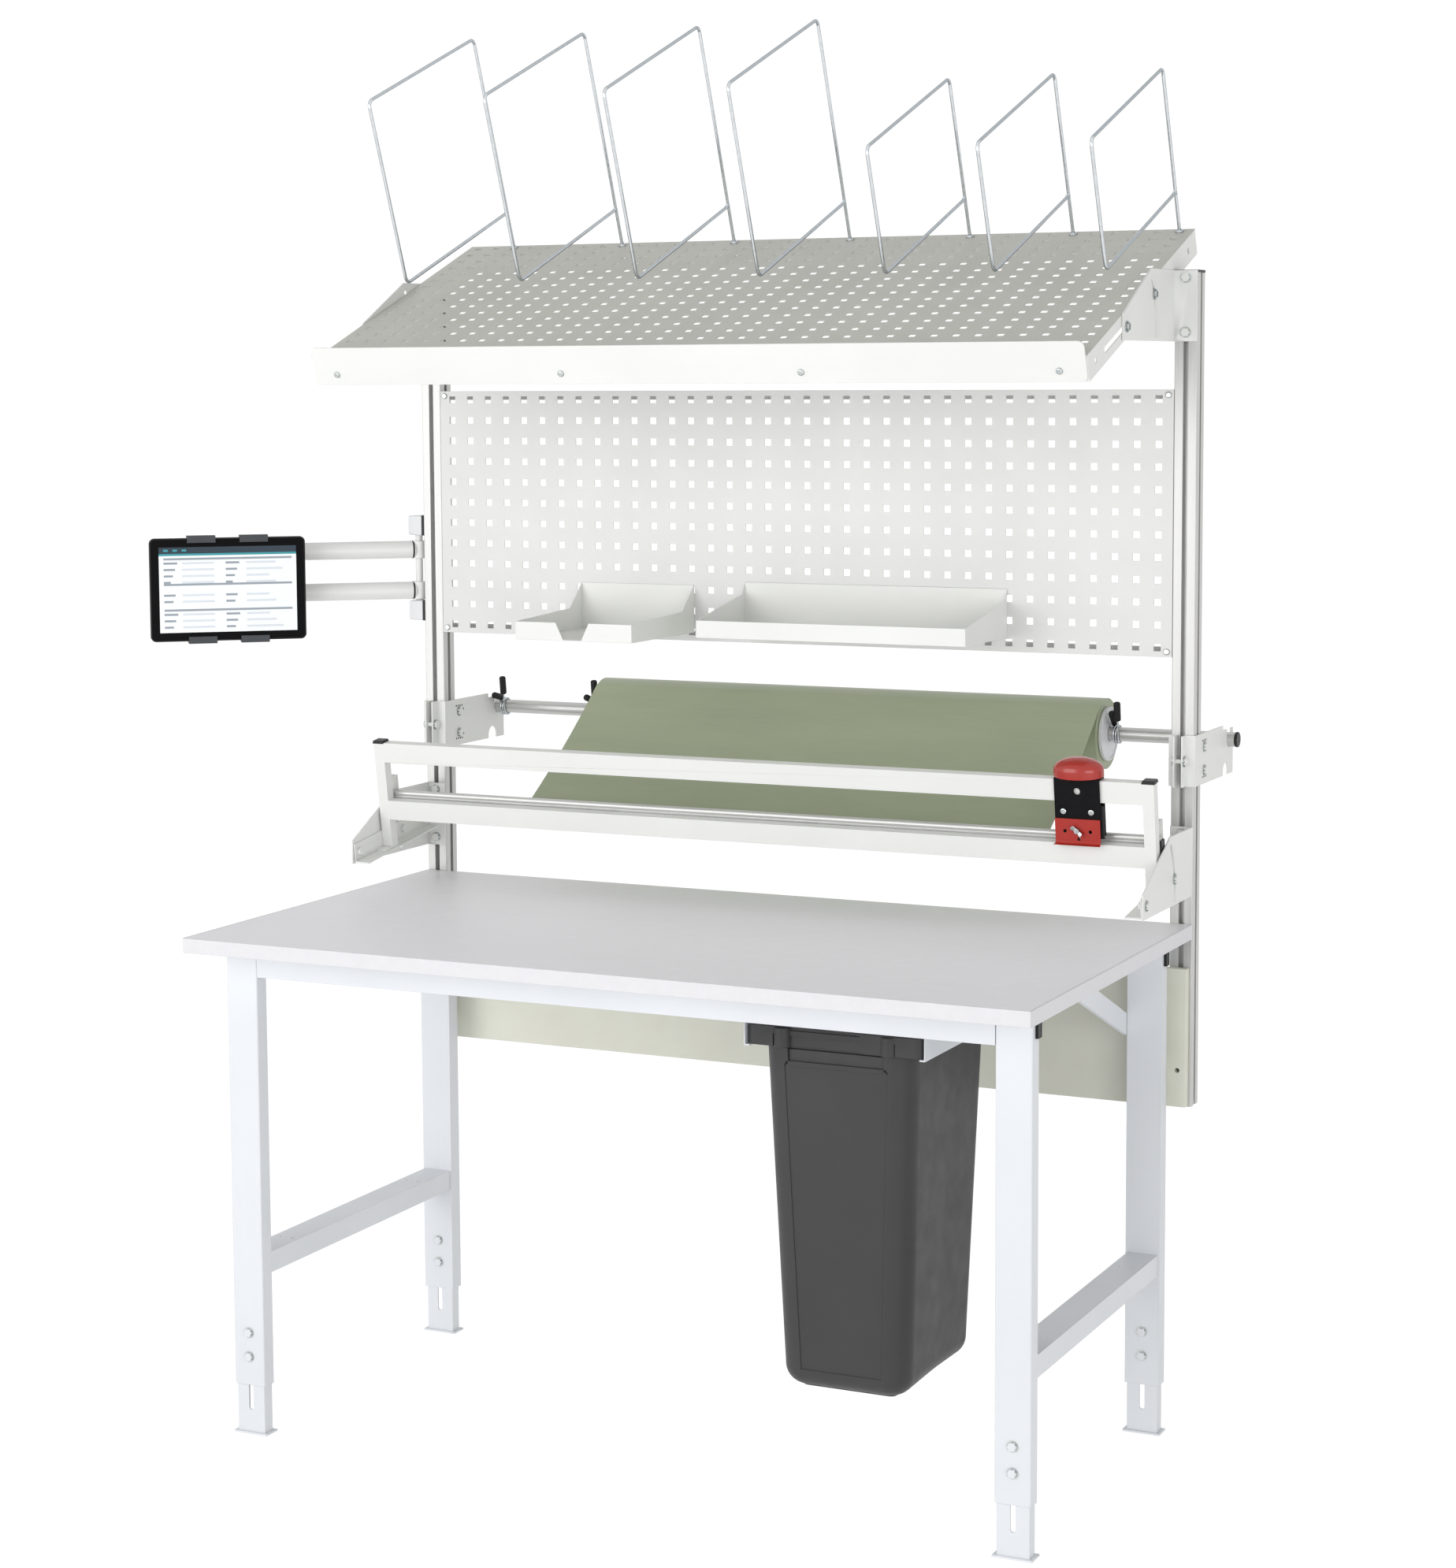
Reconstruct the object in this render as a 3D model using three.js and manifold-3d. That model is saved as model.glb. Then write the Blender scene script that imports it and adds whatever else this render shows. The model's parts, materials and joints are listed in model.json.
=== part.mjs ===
// Packing table: a height-adjustable bench with two slotted uprights at its back. They carry
// a tilting shelf with wire dividers, a perforated tool panel with two trays, a film roll
// holder, a film cutter on tilting arms and a tablet on a swing arm. A waste bin slides on
// two rails under the worktop.
// Millimetres, +Z up, +X to the worker's right, +Y to the back.

import * as THREE from 'three';
import { mergeVertices } from 'three/addons/utils/BufferGeometryUtils.js';
import Module from 'manifold-3d';

// Driving dimensions

// Clearances and shared details
const fit = 0.3;
const runningFit = 0.4;
const throughCut = 5;
const weldDistance = 0.0001;
const roundSides = 24;
const smallSides = 12;
const shankSides = 8;
const cornerSteps = 3;

// Worktop
const tableWidth = 1500;
const tableDepth = 800;
const tableHeight = 870;
const boardThickness = 25;
const edgeBand = 2;

// Under-frame
const legWidth = 60;
const legDepth = 30;
const tubeWall = 2.5;
const legSideInset = 28;
const frontOverhang = 87;
const rearOverhang = 50;
const legBottom = 86;
const railHeight = 50;
const beamHeight = 40;
const beamWidth = 40;
const crossBarWidth = 54;
const crossBarHeight = 36;
const crossBarZ = 278;
const crossBarHole = 3;
const crossBarHoleMargin = 90;
const crossBarHoleSpread = 24;
const braceWidth = 30;
const braceThickness = 38;
const braceDrop = 270;
const braceLength = 325;

// Height-adjustable feet
const footClearance = 0.5;
const footInsertion = 314;
const footPlateWidth = 66;
const footPlateDepth = 34;
const footPlateThickness = 4;
const footSlotWidth = 9;
const footSlotBottom = 42;
const footSlotTopMargin = 15;
const legBoltAboveEnd = 50;
const legBoltSpacing = 42;

// Fasteners
const boltRadius = 4;
const boltHeadRadius = 7.5;
const boltHeadHeight = 5;
const nutHeight = 6;
const screwRadius = 2;
const screwHeadRadius = 5;
const screwHeadHeight = 2.5;
const screwLength = 10;

// Modesty board
const modestyInset = 5;
const modestyThickness = 16;
const modestyHeight = 238;
const modestyDrop = 75;

// Uprights: square slotted profile
const uprightSize = 40;
const uprightBelowBoard = 2;
const uprightLength = 1416;
const uprightCorner = 1.5;
const slotMouth = 9;
const slotLip = 4.5;
const slotRoom = 14;
const slotDepth = 11;
const slotNutThickness = 4;
const slotNutWidth = 12;
const capThickness = 4;
const mountHeight = 40;
const mountWall = 3;
const upperMountDrop = 70;
const lowerMountDrop = 270;

// Tool panel
const panelAboveTop = 453;
const panelHeight = 450;
const panelSheet = 1.5;
const panelFlange = 20;
const holeSize = 10;
const holePitch = 38;
const hookRowAbovePanel = 92;
const panelScrewInset = 9;

// Trays on the tool panel
const traySheet = 1.5;
const hookWidth = 8;
const hookDrop = 8;
const hookStem = 6;
const trayGap = 100;
const smallTrayWidth = 230;
const smallTrayDepth = 250;
const smallTrayAbovePanel = 15;
const smallTrayLip = 32;
const smallTrayStepHeight = 41;
const smallTrayStepDepth = 47;
const smallTrayRear = 86;
const notchTopWidth = 66;
const notchBottomWidth = 36;
const notchCentre = 113;
const largeTrayWidth = 500;
const largeTrayDepth = 200;
const largeTrayAbovePanel = 24;
const largeTrayLip = 30;
const largeTrayStepHeight = 64;
const largeTrayStepDepth = 12;
const largeTrayRear = 85;

// Side brackets that carry the shelf and the cutter
const bracketLength = 270;
const bracketHeight = 118;
const bracketFront = 42;
const bracketTopLength = 127;
const bracketSheet = 3;
const pivotInset = 17;
const pivotAboveBottom = 22;
const slotRadius = 152;
const slotLowAngle = -4;
const slotHighAngle = 31;
const bracketBoltLow = 15;
const bracketBoltHigh = 106;

// Tilting shelf
const shelfTilt = 21;
const shelfDepth = 600;
const shelfSheet = 1.5;
const shelfFlange = 44;
const shelfPivotFromFront = 190;
const shelfPivotBelowTop = 24;
const shelfRearRow = 15;
const shelfSlotLength = 100;
const shelfSlotWidth = 10;
const shelfSlotFromFront = 82;
const lipHeight = 68;
const lipBelow = 0;
const lipInset = 1.7;
const lipSheet = 2;
const lipCorner = 10;
const lipScrewMargin = 46.7;
const lipScrewCount = 4;
const lipScrewHeight = 19;

// Wire dividers: tall ones from the shelf's left end, short ones to its right end
const wireRadius = 3;
const dividerDepth = 390;
const dividerBottom = 70;
const tallDividerHeight = 330;
const shortDividerHeight = 215;
const dividerCorner = 12;
const dividerFoot = 24;
const dividerCollarRadius = 7;
const dividerCollarHeight = 3;
const tallDividerCount = 4;
const shortDividerCount = 3;
const firstDividerColumn = 2;

// Film roll holder
const rollBracketAboveTop = 235;
const rollBracketHeight = 87;
const rollBracketLength = 220;
const rollBracketSheet = 3;
const rollFlange = 20;
const clampFlange = 12;
const clampLip = 20;
const clampDepth = 33;
const barBehind = 197;
const barAboveBracket = 60;
const barRadius = 12.5;
const barWall = 2;
const barLeftOverhang = 5;
const barRightOverhang = 15;
const barSlotClearance = 0.5;
const hookTabHeight = 8;
const hookTabWidth = 14;
const spareNotchHeight = 23;
const spareNotchRadius = 16;
const spareNotchY = 176;
const indexBoltY = 49;
const indexBoltSpread = 40;
const barCapRadius = 13.5;
const barCapThickness = 5;
const barCapSpigot = 12;
const rollCentreX = 30;
const rollLength = 1000;
const rollRadius = 63;
const coreRadius = 38;
const coneFlangeRadius = 48;
const coneFlange = 6;
const coneDepth = 30;
const coneTipRadius = 30;
const collarWire = 1.5;
const collarTurns = 3;
const collarPitch = 3.9;
const collarLeg = 62;
const collarGripRadius = 7.5;
const collarGripLength = 38;
const collarBore = 0.4;
const collarFirstAngle = 75;
const collarSpread = 50;
const freeCollarGap = 12;
const webThickness = 1;
const webGap = 0.5;
const webSag = 8;

// Cutter on its two tilting arms
const cutterTilt = 8.2;
const cutterBracketAboveTop = 49;
const armSheet = 3;
const armFlange = 30;
const armHeight = 35;
const armBelow = 19;
const armRear = 236;
const armFront = 14;
const postSize = 20;
const postFront = 80;
const postTop = 183;
const postWall = 2;
const upperRailHeight = 37;
const lowerRailHeight = 36;
const lowerRailBottom = 38;
const postFootDepth = 44;
const pressGap = 3;
const pressDepth = 14;
const pressBottom = 50;
const pressHeight = 28;
const pressBeadRadius = 6;
const pressLift = 20;
const guideSheet = 2;
const guideBottom = 40;

// Cutter carriage
const carriageFromRight = 138;
const carriageWidth = 79;
const carriageSheet = 3;
const carriageFrontGap = 1.5;
const carriageFrontDrop = 88;
const carriageRearDrop = 99;
const carriageSight = 6;
const bladePlateHeight = 55;
const bladePlateWidth = 78;
const bladeFoot = 12;
const bladeWidth = 18;
const bladeThickness = 0.6;
const bladeHeight = 46;
const gripWidth = 86;
const gripDepth = 60;
const gripBand = 14;
const gripCrown = 27;
const wingSpan = 20;
const wingHeight = 6;

// Tablet arm on the left upright
const armSwingAngle = 40;
const stripThickness = 6;
const stripWidth = 36;
const clampBlock = 30;
const clampBlockHeight = 38;
const armBracketAboveTop = 473;
const armBracketHeight = 198;
const armPostRadius = 7;
const armPostOffset = 16;
const armTubeRadius = 15;
const armTubeAboveBracket = 56;
const armTubeSpacing = 77;
const eyeRadius = 14;
const armLength = 375;
const armCheekWidth = 20;
const armCheekSheet = 4;
const tiltPinRadius = 4;
const tiltPinForward = 30;
const tiltPinLength = 44;
const earWidth = 9;

// Tablet and its holder
const tabletWidth = 285;
const tabletHeight = 190;
const tabletThickness = 12;
const tabletCorner = 10;
const tabletForward = 56;
const tabletAboveTube = 14;
const tabletFromTip = 10;
const holderPlate = 120;
const holderSheet = 3;
const jawWidth = 52;
const jawSpread = 96;
const jawSheet = 4;
const jawLip = 9;
const jawRail = 10;
const jawRailLength = 70;

// Waste bin and its rails
const binFromLeg = 342;
const binBeforeMiddle = 200;
const binTopWidth = 292;
const binNeckWidth = 264;
const binTopDepth = 345;
const binBottomWidth = 220;
const binBottomDepth = 300;
const binHeight = 600;
const binDrop = 76;
const binRimHeight = 33;
const binRimOverhang = 6;
const binWall = 3;
const binCorner = 28;
const binRailSheet = 2.5;
const binRailFlange = 22;
const binRailLength = 420;
const binSideGap = 2;

// Shared derived places

const boardBottom = tableHeight - boardThickness;
const frameTop = boardBottom - fit;
const legX = tableWidth / 2 - legSideInset - legWidth / 2;
const frontLegY = -tableDepth / 2 + frontOverhang + legDepth / 2;
const rearLegY = tableDepth / 2 - rearOverhang - legDepth / 2;
const beamFront = frontLegY + legDepth / 2 + fit;
const beamRear = rearLegY - legDepth / 2 - fit;
const uprightX = tableWidth / 2 - uprightSize / 2;
const uprightFront = tableDepth / 2 + fit;
const uprightRear = uprightFront + uprightSize;
const uprightY = uprightFront + uprightSize / 2;
const uprightInner = uprightX - uprightSize / 2;
const uprightOuter = uprightX + uprightSize / 2;
const flangeRear = uprightFront - fit;
const flangeFront = flangeRear - bracketSheet;
const bracketPivotY = flangeRear - bracketLength + pivotInset;
const radians = THREE.MathUtils.degToRad;

const legBoltLowZ = legBottom + legBoltAboveEnd;
const braceLegZ = tableHeight - braceDrop;
const upperMountZ = tableHeight - upperMountDrop;
const lowerMountZ = tableHeight - lowerMountDrop;
const modestyWidth = tableWidth - 2 * modestyInset;
const modestyTop = tableHeight - modestyDrop;
const modestyBottom = modestyTop - modestyHeight;
const uprightBottom = modestyBottom - uprightBelowBoard;
const uprightTop = uprightBottom + uprightLength;

const panelBottom = tableHeight + panelAboveTop;
const panelRowZ = panelBottom + hookRowAbovePanel;
const smallTrayLeft = -(smallTrayWidth + trayGap + largeTrayWidth) / 2;
const smallTrayBottom = panelBottom + smallTrayAbovePanel;
const largeTrayLeft = smallTrayLeft + smallTrayWidth + trayGap;
const largeTrayBottom = panelBottom + largeTrayAbovePanel;

const shelfPivotZ = uprightTop - fit - bracketHeight + pivotAboveBottom;
const rollBracketBottom = tableHeight + rollBracketAboveTop;
const barY = flangeRear + barBehind;
const barZ = rollBracketBottom + barAboveBracket;
const barLeftEnd = -uprightX - barLeftOverhang;
const barRightEnd = uprightOuter + barRightOverhang;
const cutterBracketBottom = tableHeight + cutterBracketAboveTop;
const carriageX = uprightOuter - carriageFromRight;
const armBracketBottom = tableHeight + armBracketAboveTop;
const armTubeLowZ = armBracketBottom + armTubeAboveBracket;
const tabletZ = armTubeLowZ + tabletAboveTube;
const tabletAlong = armLength - tabletFromTip;
const binX = legX - binFromLeg;
const binFront = -binBeforeMiddle;
const binTop = boardBottom - binDrop;

// Solid helpers: every piece is a closed body that can be joined and cut

const wasm = await Module();
wasm.setup();

function solid(geometry) {
  const bare = geometry.clone();
  bare.deleteAttribute('normal');
  bare.deleteAttribute('uv');
  const merged = mergeVertices(bare, weldDistance);
  return new wasm.Manifold(new wasm.Mesh({
    numProp: 3,
    vertProperties: Float32Array.from(merged.attributes.position.array),
    triVerts: Uint32Array.from(merged.index.array),
  }));
}

function surface(body) {
  const mesh = body.getMesh();
  const geometry = new THREE.BufferGeometry();
  geometry.setAttribute('position', new THREE.BufferAttribute(mesh.vertProperties, 3));
  geometry.setIndex(new THREE.BufferAttribute(mesh.triVerts, 1));
  return geometry;
}

function joined(bodies) {
  return bodies.reduce((whole, body) => whole.add(body));
}

function cut(body, ...tools) {
  return tools.reduce((rest, tool) => rest.subtract(tool), body);
}

function block([x0, x1], [y0, y1], [z0, z1]) {
  const geometry = new THREE.BoxGeometry(Math.abs(x1 - x0), Math.abs(y1 - y0), Math.abs(z1 - z0));
  geometry.translate((x0 + x1) / 2, (y0 + y1) / 2, (z0 + z1) / 2);
  return solid(geometry);
}

const axisTurns = {
  x: new THREE.Matrix4().set(0, 0, 1, 0, 1, 0, 0, 0, 0, 1, 0, 0, 0, 0, 0, 1),
  y: new THREE.Matrix4().set(0, 1, 0, 0, 0, 0, 1, 0, 1, 0, 0, 0, 0, 0, 0, 1),
  z: new THREE.Matrix4(),
};

function extrusion(outline, depth) {
  const shape = new THREE.Shape(outline.map(([a, b]) => new THREE.Vector2(a, b)));
  return new THREE.ExtrudeGeometry(shape, { depth, bevelEnabled: false });
}

// A flat outline drawn in the plane square to the axis, given thickness from one place to
// another along it. Outlines are (y, z) for x, (x, z) for y and (x, y) for z.
function plate(axis, outline, from, to) {
  const turned = axis === 'y' ? outline.map(([x, z]) => [z, x]) : outline;
  const geometry = extrusion(turned, Math.abs(to - from));
  geometry.translate(0, 0, Math.min(from, to));
  geometry.applyMatrix4(axisTurns[axis]);
  return solid(geometry);
}

// A round rod or, cut from something, a round hole along an axis. The centre is given as in
// plate: (y, z), (x, z) or (x, y).
function rod(axis, [a, b], radius, from, to, sides = smallSides, endRadius = radius) {
  const length = Math.abs(to - from);
  const [lowRadius, highRadius] = from < to ? [radius, endRadius] : [endRadius, radius];
  const geometry = new THREE.CylinderGeometry(highRadius, lowRadius, length, sides);
  geometry.rotateX(Math.PI / 2);
  const [u, v] = axis === 'y' ? [b, a] : [a, b];
  geometry.translate(u, v, (from + to) / 2);
  geometry.applyMatrix4(axisTurns[axis]);
  return solid(geometry);
}

// A route through chosen points, so that an extrusion along it puts one ring at each point
class Route extends THREE.Curve {
  constructor(points) {
    super();
    this.points = points;
  }
  getPoint(t, target = new THREE.Vector3()) {
    const place = THREE.MathUtils.clamp(t, 0, 1) * (this.points.length - 1);
    const index = Math.min(Math.floor(place), this.points.length - 2);
    return target.lerpVectors(this.points[index], this.points[index + 1], place - index);
  }
  getPointAt(t, target) {
    return this.getPoint(t, target);
  }
  getTangentAt(t, target = new THREE.Vector3()) {
    const index = Math.round(t * (this.points.length - 1));
    const before = this.points[Math.max(index - 1, 0)];
    const after = this.points[Math.min(index + 1, this.points.length - 1)];
    return target.subVectors(after, before).normalize();
  }
}

function polygonShape(radius, sides) {
  const shape = new THREE.Shape();
  for (let side = 0; side < sides; side += 1) {
    const angle = (side / sides) * 2 * Math.PI;
    const corner = [radius * Math.cos(angle), radius * Math.sin(angle)];
    if (side === 0) shape.moveTo(...corner);
    else shape.lineTo(...corner);
  }
  return shape;
}

function wire(points, radius, sides = shankSides) {
  return solid(new THREE.ExtrudeGeometry(polygonShape(radius, sides), {
    steps: points.length - 1, extrudePath: new Route(points),
  }));
}

// Rounded rectangle as a ring of points; a radius of half the width makes a slot's outline
function roundedRectangle(width, height, radius, steps = 4) {
  const points = [];
  const corners = [[1, 1], [-1, 1], [-1, -1], [1, -1]];
  corners.forEach(([signX, signY], quarter) => {
    for (let step = 0; step <= steps; step += 1) {
      const angle = (quarter + step / steps) * Math.PI / 2;
      const point = [signX * (width / 2 - radius) + radius * Math.cos(angle),
        signY * (height / 2 - radius) + radius * Math.sin(angle)];
      const last = points[points.length - 1];
      if (!last || Math.hypot(point[0] - last[0], point[1] - last[1]) > weldDistance) {
        points.push(point);
      }
    }
  });
  const [first, last] = [points[0], points[points.length - 1]];
  if (Math.hypot(first[0] - last[0], first[1] - last[1]) < weldDistance) points.pop();
  return points;
}

// A lengthwise slot with round ends, as a cutter: the outline of a stadium
function slotOutline(width, height) {
  return roundedRectangle(width, height, Math.min(width, height) / 2);
}

// Scene helpers

const packingTable = new THREE.Group();

function finish(color, roughness, metalness) {
  return new THREE.MeshStandardMaterial({ color, roughness, metalness });
}

const paintedSteel = () => finish(0xe9ebee, 0.45, 0.1);
const laminate = () => finish(0xd6d5da, 0.5, 0);
const plainBoard = () => finish(0xd6d7cb, 0.6, 0);
const anodised = () => finish(0xc9cbcc, 0.35, 0.8);
const zinc = () => finish(0xb9bec2, 0.3, 0.9);
const chrome = () => finish(0xd4d8da, 0.12, 1);
const blackPlastic = () => finish(0x26272a, 0.5, 0);
const darkPlastic = () => finish(0x4b4b4c, 0.55, 0);
const redPaint = () => finish(0xb23228, 0.35, 0.1);

function addPart(parent, name, body, material) {
  const mesh = new THREE.Mesh(surface(body), material);
  mesh.name = name;
  parent.add(mesh);
  return mesh;
}

const sides = [['left', -1], ['right', 1]];

// Bolt whose head lies on a face at `seat`, pointing along the axis by `direction`, with its
// shank going the other way and, where asked, a nut at the shank's end
function bolt(axis, centre, seat, direction, length, nut = null) {
  const away = direction * boltHeadHeight;
  const parts = [
    rod(axis, centre, boltHeadRadius, seat, seat + away, 6),
    rod(axis, centre, boltRadius, seat + away / 2, seat - direction * length, shankSides),
  ];
  if (nut) {
    const end = seat - direction * length;
    parts.push(rod(axis, centre, nut.radius, end, end + direction * nut.height, nut.sides));
  }
  return joined(parts);
}

const plainNut = { radius: boltHeadRadius, height: nutHeight, sides: 6 };

// Worktop

function makeWorktop() {
  const boardX = tableWidth / 2 - edgeBand - fit;
  const boardY = tableDepth / 2 - edgeBand - fit;
  const board = block([-boardX, boardX], [-boardY, boardY], [boardBottom, tableHeight]);
  addPart(packingTable, 'worktop', board, laminate());

  const [x, y] = [tableWidth / 2, tableDepth / 2];
  const band = cut(
    block([-x, x], [-y, y], [boardBottom, tableHeight]),
    block([edgeBand - x, x - edgeBand], [edgeBand - y, y - edgeBand],
      [boardBottom - throughCut, tableHeight + throughCut]));
  addPart(packingTable, 'worktop_edge', band, laminate());
}

// Under-frame

function legTube() {
  const bore = [legWidth / 2 - tubeWall, legDepth / 2 - tubeWall];
  return cut(
    block([-legWidth / 2, legWidth / 2], [-legDepth / 2, legDepth / 2], [legBottom, frameTop]),
    block([-bore[0], bore[0]], [-bore[1], bore[1]],
      [legBottom - throughCut, frameTop + throughCut]));
}

// Two bolts hold the foot: each passes through the foot's slot to a nut inside it
function legBolts() {
  const seat = -legDepth / 2;
  const length = 2 * tubeWall + footClearance + fit + nutHeight;
  return [0, legBoltSpacing].map((rise) => bolt('y', [0, legBoltLowZ + rise], seat, -1, length,
    plainNut));
}

// Hollow mounts on a rear leg carry the upright: one straight, one through the board
function uprightMounts(sign) {
  const across = [sign * (tubeWall - legWidth / 2), sign * (uprightOuter - legX - tubeWall)];
  const bore = [across[0] - sign * throughCut, across[1] + sign * throughCut];
  const front = legDepth / 2 - tubeWall / 2;
  const pieces = [];
  for (const [z, rear] of [
    [upperMountZ, flangeRear - rearLegY],
    [lowerMountZ, flangeRear - modestyThickness - fit - rearLegY],
  ]) {
    pieces.push(cut(
      block(across, [front, rear], [z, z + mountHeight]),
      block(bore, [legDepth / 2 + mountWall, rear - mountWall],
        [z + mountWall, z + mountHeight - mountWall])));
    const length = uprightFront - rearLegY - rear + mountWall + slotLip + fit + slotNutThickness;
    pieces.push(bolt('y', [sign * (uprightX - legX), z + mountHeight / 2], rear - mountWall, -1,
      length, slotNut));
  }
  return pieces;
}

function makeLegs() {
  for (const [side, sign] of sides) {
    const front = addPart(packingTable, `leg_front_${side}`, joined([legTube(), ...legBolts()]),
      paintedSteel());
    front.position.set(sign * legX, frontLegY, 0);
    const rear = addPart(packingTable, `leg_rear_${side}`,
      joined([legTube(), ...legBolts(), ...uprightMounts(sign)]), paintedSteel());
    rear.position.set(sign * legX, rearLegY, 0);
  }
}

function makeFeet() {
  const half = [
    legWidth / 2 - tubeWall - footClearance,
    legDepth / 2 - tubeWall - footClearance,
  ];
  const top = legBottom + footInsertion;
  const slotTop = top - footSlotTopMargin;
  const slot = plate('y', slotOutline(footSlotWidth, slotTop - footSlotBottom),
    -half[1] - throughCut, half[1] + throughCut);
  const foot = cut(
    joined([
      block([-half[0], half[0]], [-half[1], half[1]], [footPlateThickness / 2, top]),
      block([-footPlateWidth / 2, footPlateWidth / 2], [-footPlateDepth / 2, footPlateDepth / 2],
        [0, footPlateThickness]),
    ]),
    block([tubeWall - half[0], half[0] - tubeWall], [tubeWall - half[1], half[1] - tubeWall],
      [footPlateThickness, top + throughCut]),
    slot.translate([0, 0, (slotTop + footSlotBottom) / 2]));
  for (const [row, y] of [['front', frontLegY], ['rear', rearLegY]]) {
    for (const [side, sign] of sides) {
      const mesh = addPart(packingTable, `foot_${row}_${side}`, foot, paintedSteel());
      mesh.position.set(sign * legX, y, 0);
    }
  }
}

// Welded ring: two long rails between the legs and two side beams along their inner faces
function makeTopFrame() {
  const end = legX - legWidth / 2 - fit;
  const rails = [frontLegY, rearLegY].map((y) => [y - legDepth / 2, y + legDepth / 2]);
  const low = frameTop - railHeight;
  const bodies = rails.map((depth) => block([-end, end], depth, [low, frameTop]));
  const bores = rails.map(([front, rear]) => block([-end - throughCut, end + throughCut],
    [front + tubeWall, rear - tubeWall], [low + tubeWall, frameTop - tubeWall]));
  for (const [, sign] of sides) {
    bodies.push(block([sign * (end - beamWidth), sign * end], [frontLegY, rearLegY],
      [frameTop - beamHeight, frameTop]));
    bores.push(block([sign * (end - beamWidth + tubeWall), sign * (end - tubeWall)],
      [frontLegY, rearLegY], [frameTop - beamHeight + tubeWall, frameTop - tubeWall]));
  }
  addPart(packingTable, 'top_frame', cut(joined(bodies), ...bores), paintedSteel());
}

function makeCrossBars() {
  for (const [side, sign] of sides) {
    const x = sign * legX;
    const holes = [];
    for (const end of [beamFront + crossBarHoleMargin, beamRear - crossBarHoleMargin]) {
      for (const spread of [-crossBarHoleSpread / 2, crossBarHoleSpread / 2]) {
        holes.push(rod('z', [x + spread, end], crossBarHole,
          crossBarZ, crossBarZ + crossBarHeight + throughCut, shankSides));
      }
    }
    const bar = cut(
      block([x - crossBarWidth / 2, x + crossBarWidth / 2], [beamFront, beamRear],
        [crossBarZ, crossBarZ + crossBarHeight]),
      block([x - crossBarWidth / 2 + tubeWall, x + crossBarWidth / 2 - tubeWall],
        [beamFront - throughCut, beamRear + throughCut],
        [crossBarZ - throughCut, crossBarZ + crossBarHeight - tubeWall]),
      ...holes);
    addPart(packingTable, `cross_bar_${side}`, bar, paintedSteel());
  }
}

function makeBraces() {
  const beamZ = frameTop - beamHeight - fit;
  const slope = (beamZ - braceLegZ) / braceLength;
  const outline = [
    [rearLegY, braceLegZ],
    [rearLegY, braceLegZ + braceThickness],
    [rearLegY - (beamZ - braceLegZ - braceThickness) / slope, beamZ],
    [rearLegY - braceLength, beamZ],
  ];
  const outer = legX - legWidth / 2 - fit;
  for (const [side, sign] of sides) {
    addPart(packingTable, `brace_${side}`,
      plate('x', outline, sign * (outer - braceWidth), sign * outer), paintedSteel());
  }
}

function makeModestyBoard() {
  const front = flangeRear - modestyThickness;
  const holes = sides.map(([, sign]) => rod('y', [sign * uprightX, lowerMountZ + mountHeight / 2],
    boltRadius + fit, front - throughCut, flangeRear + throughCut));
  const board = cut(
    block([-modestyWidth / 2, modestyWidth / 2], [front, flangeRear],
      [modestyBottom, modestyTop]),
    ...holes);
  addPart(packingTable, 'modesty_board', board, plainBoard());
}

// Uprights, their mounts and caps

function slottedOutline() {
  const half = uprightSize / 2;
  const quarter = [
    [half - uprightCorner, half],
    [slotMouth / 2, half],
    [slotMouth / 2, half - slotLip],
    [slotRoom / 2, half - slotLip],
    [slotRoom / 2, half - slotDepth],
    [-slotRoom / 2, half - slotDepth],
    [-slotRoom / 2, half - slotLip],
    [-slotMouth / 2, half - slotLip],
    [-slotMouth / 2, half],
    [uprightCorner - half, half],
  ];
  const outline = [];
  for (let turn = 0; turn < 4; turn += 1) {
    const [c, s] = [Math.cos(turn * Math.PI / 2), Math.sin(turn * Math.PI / 2)];
    for (const [a, b] of quarter) outline.push([a * c - b * s, a * s + b * c]);
  }
  return outline;
}

function makeUprights() {
  const half = uprightSize / 2;
  const capBottom = uprightTop - capThickness;
  const profile = joined([
    plate('z', slottedOutline(), uprightBottom, capBottom + fit),
    block([-half, half], [-half, half], [capBottom, uprightTop]),
  ]);
  for (const [side, sign] of sides) {
    const upright = addPart(packingTable, `upright_${side}`, profile, anodised());
    upright.position.set(sign * uprightX, uprightY, 0);
  }
}

const slotNut = { radius: slotNutWidth / 2, height: slotNutThickness, sides: 4 };

function uprightBolt(sign, z) {
  const length = bracketSheet + fit + slotLip + fit + slotNutThickness;
  return bolt('y', [sign * uprightX, z], flangeFront, -1, length, slotNut);
}

// Tool panel

function panelScrewPlaces() {
  const x = uprightInner - fit - panelScrewInset;
  const zs = [panelBottom + panelScrewInset, panelBottom + panelHeight - panelScrewInset];
  return [-x, x].flatMap((place) => zs.map((z) => [place, z]));
}

function nearestColumn(x) {
  return Math.round(x / holePitch) * holePitch;
}

function hookColumns(left, width) {
  return [nearestColumn(left + width / 4), nearestColumn(left + 3 * width / 4)];
}

function trayHookPlaces() {
  return [...hookColumns(smallTrayLeft, smallTrayWidth),
    ...hookColumns(largeTrayLeft, largeTrayWidth)];
}

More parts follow.
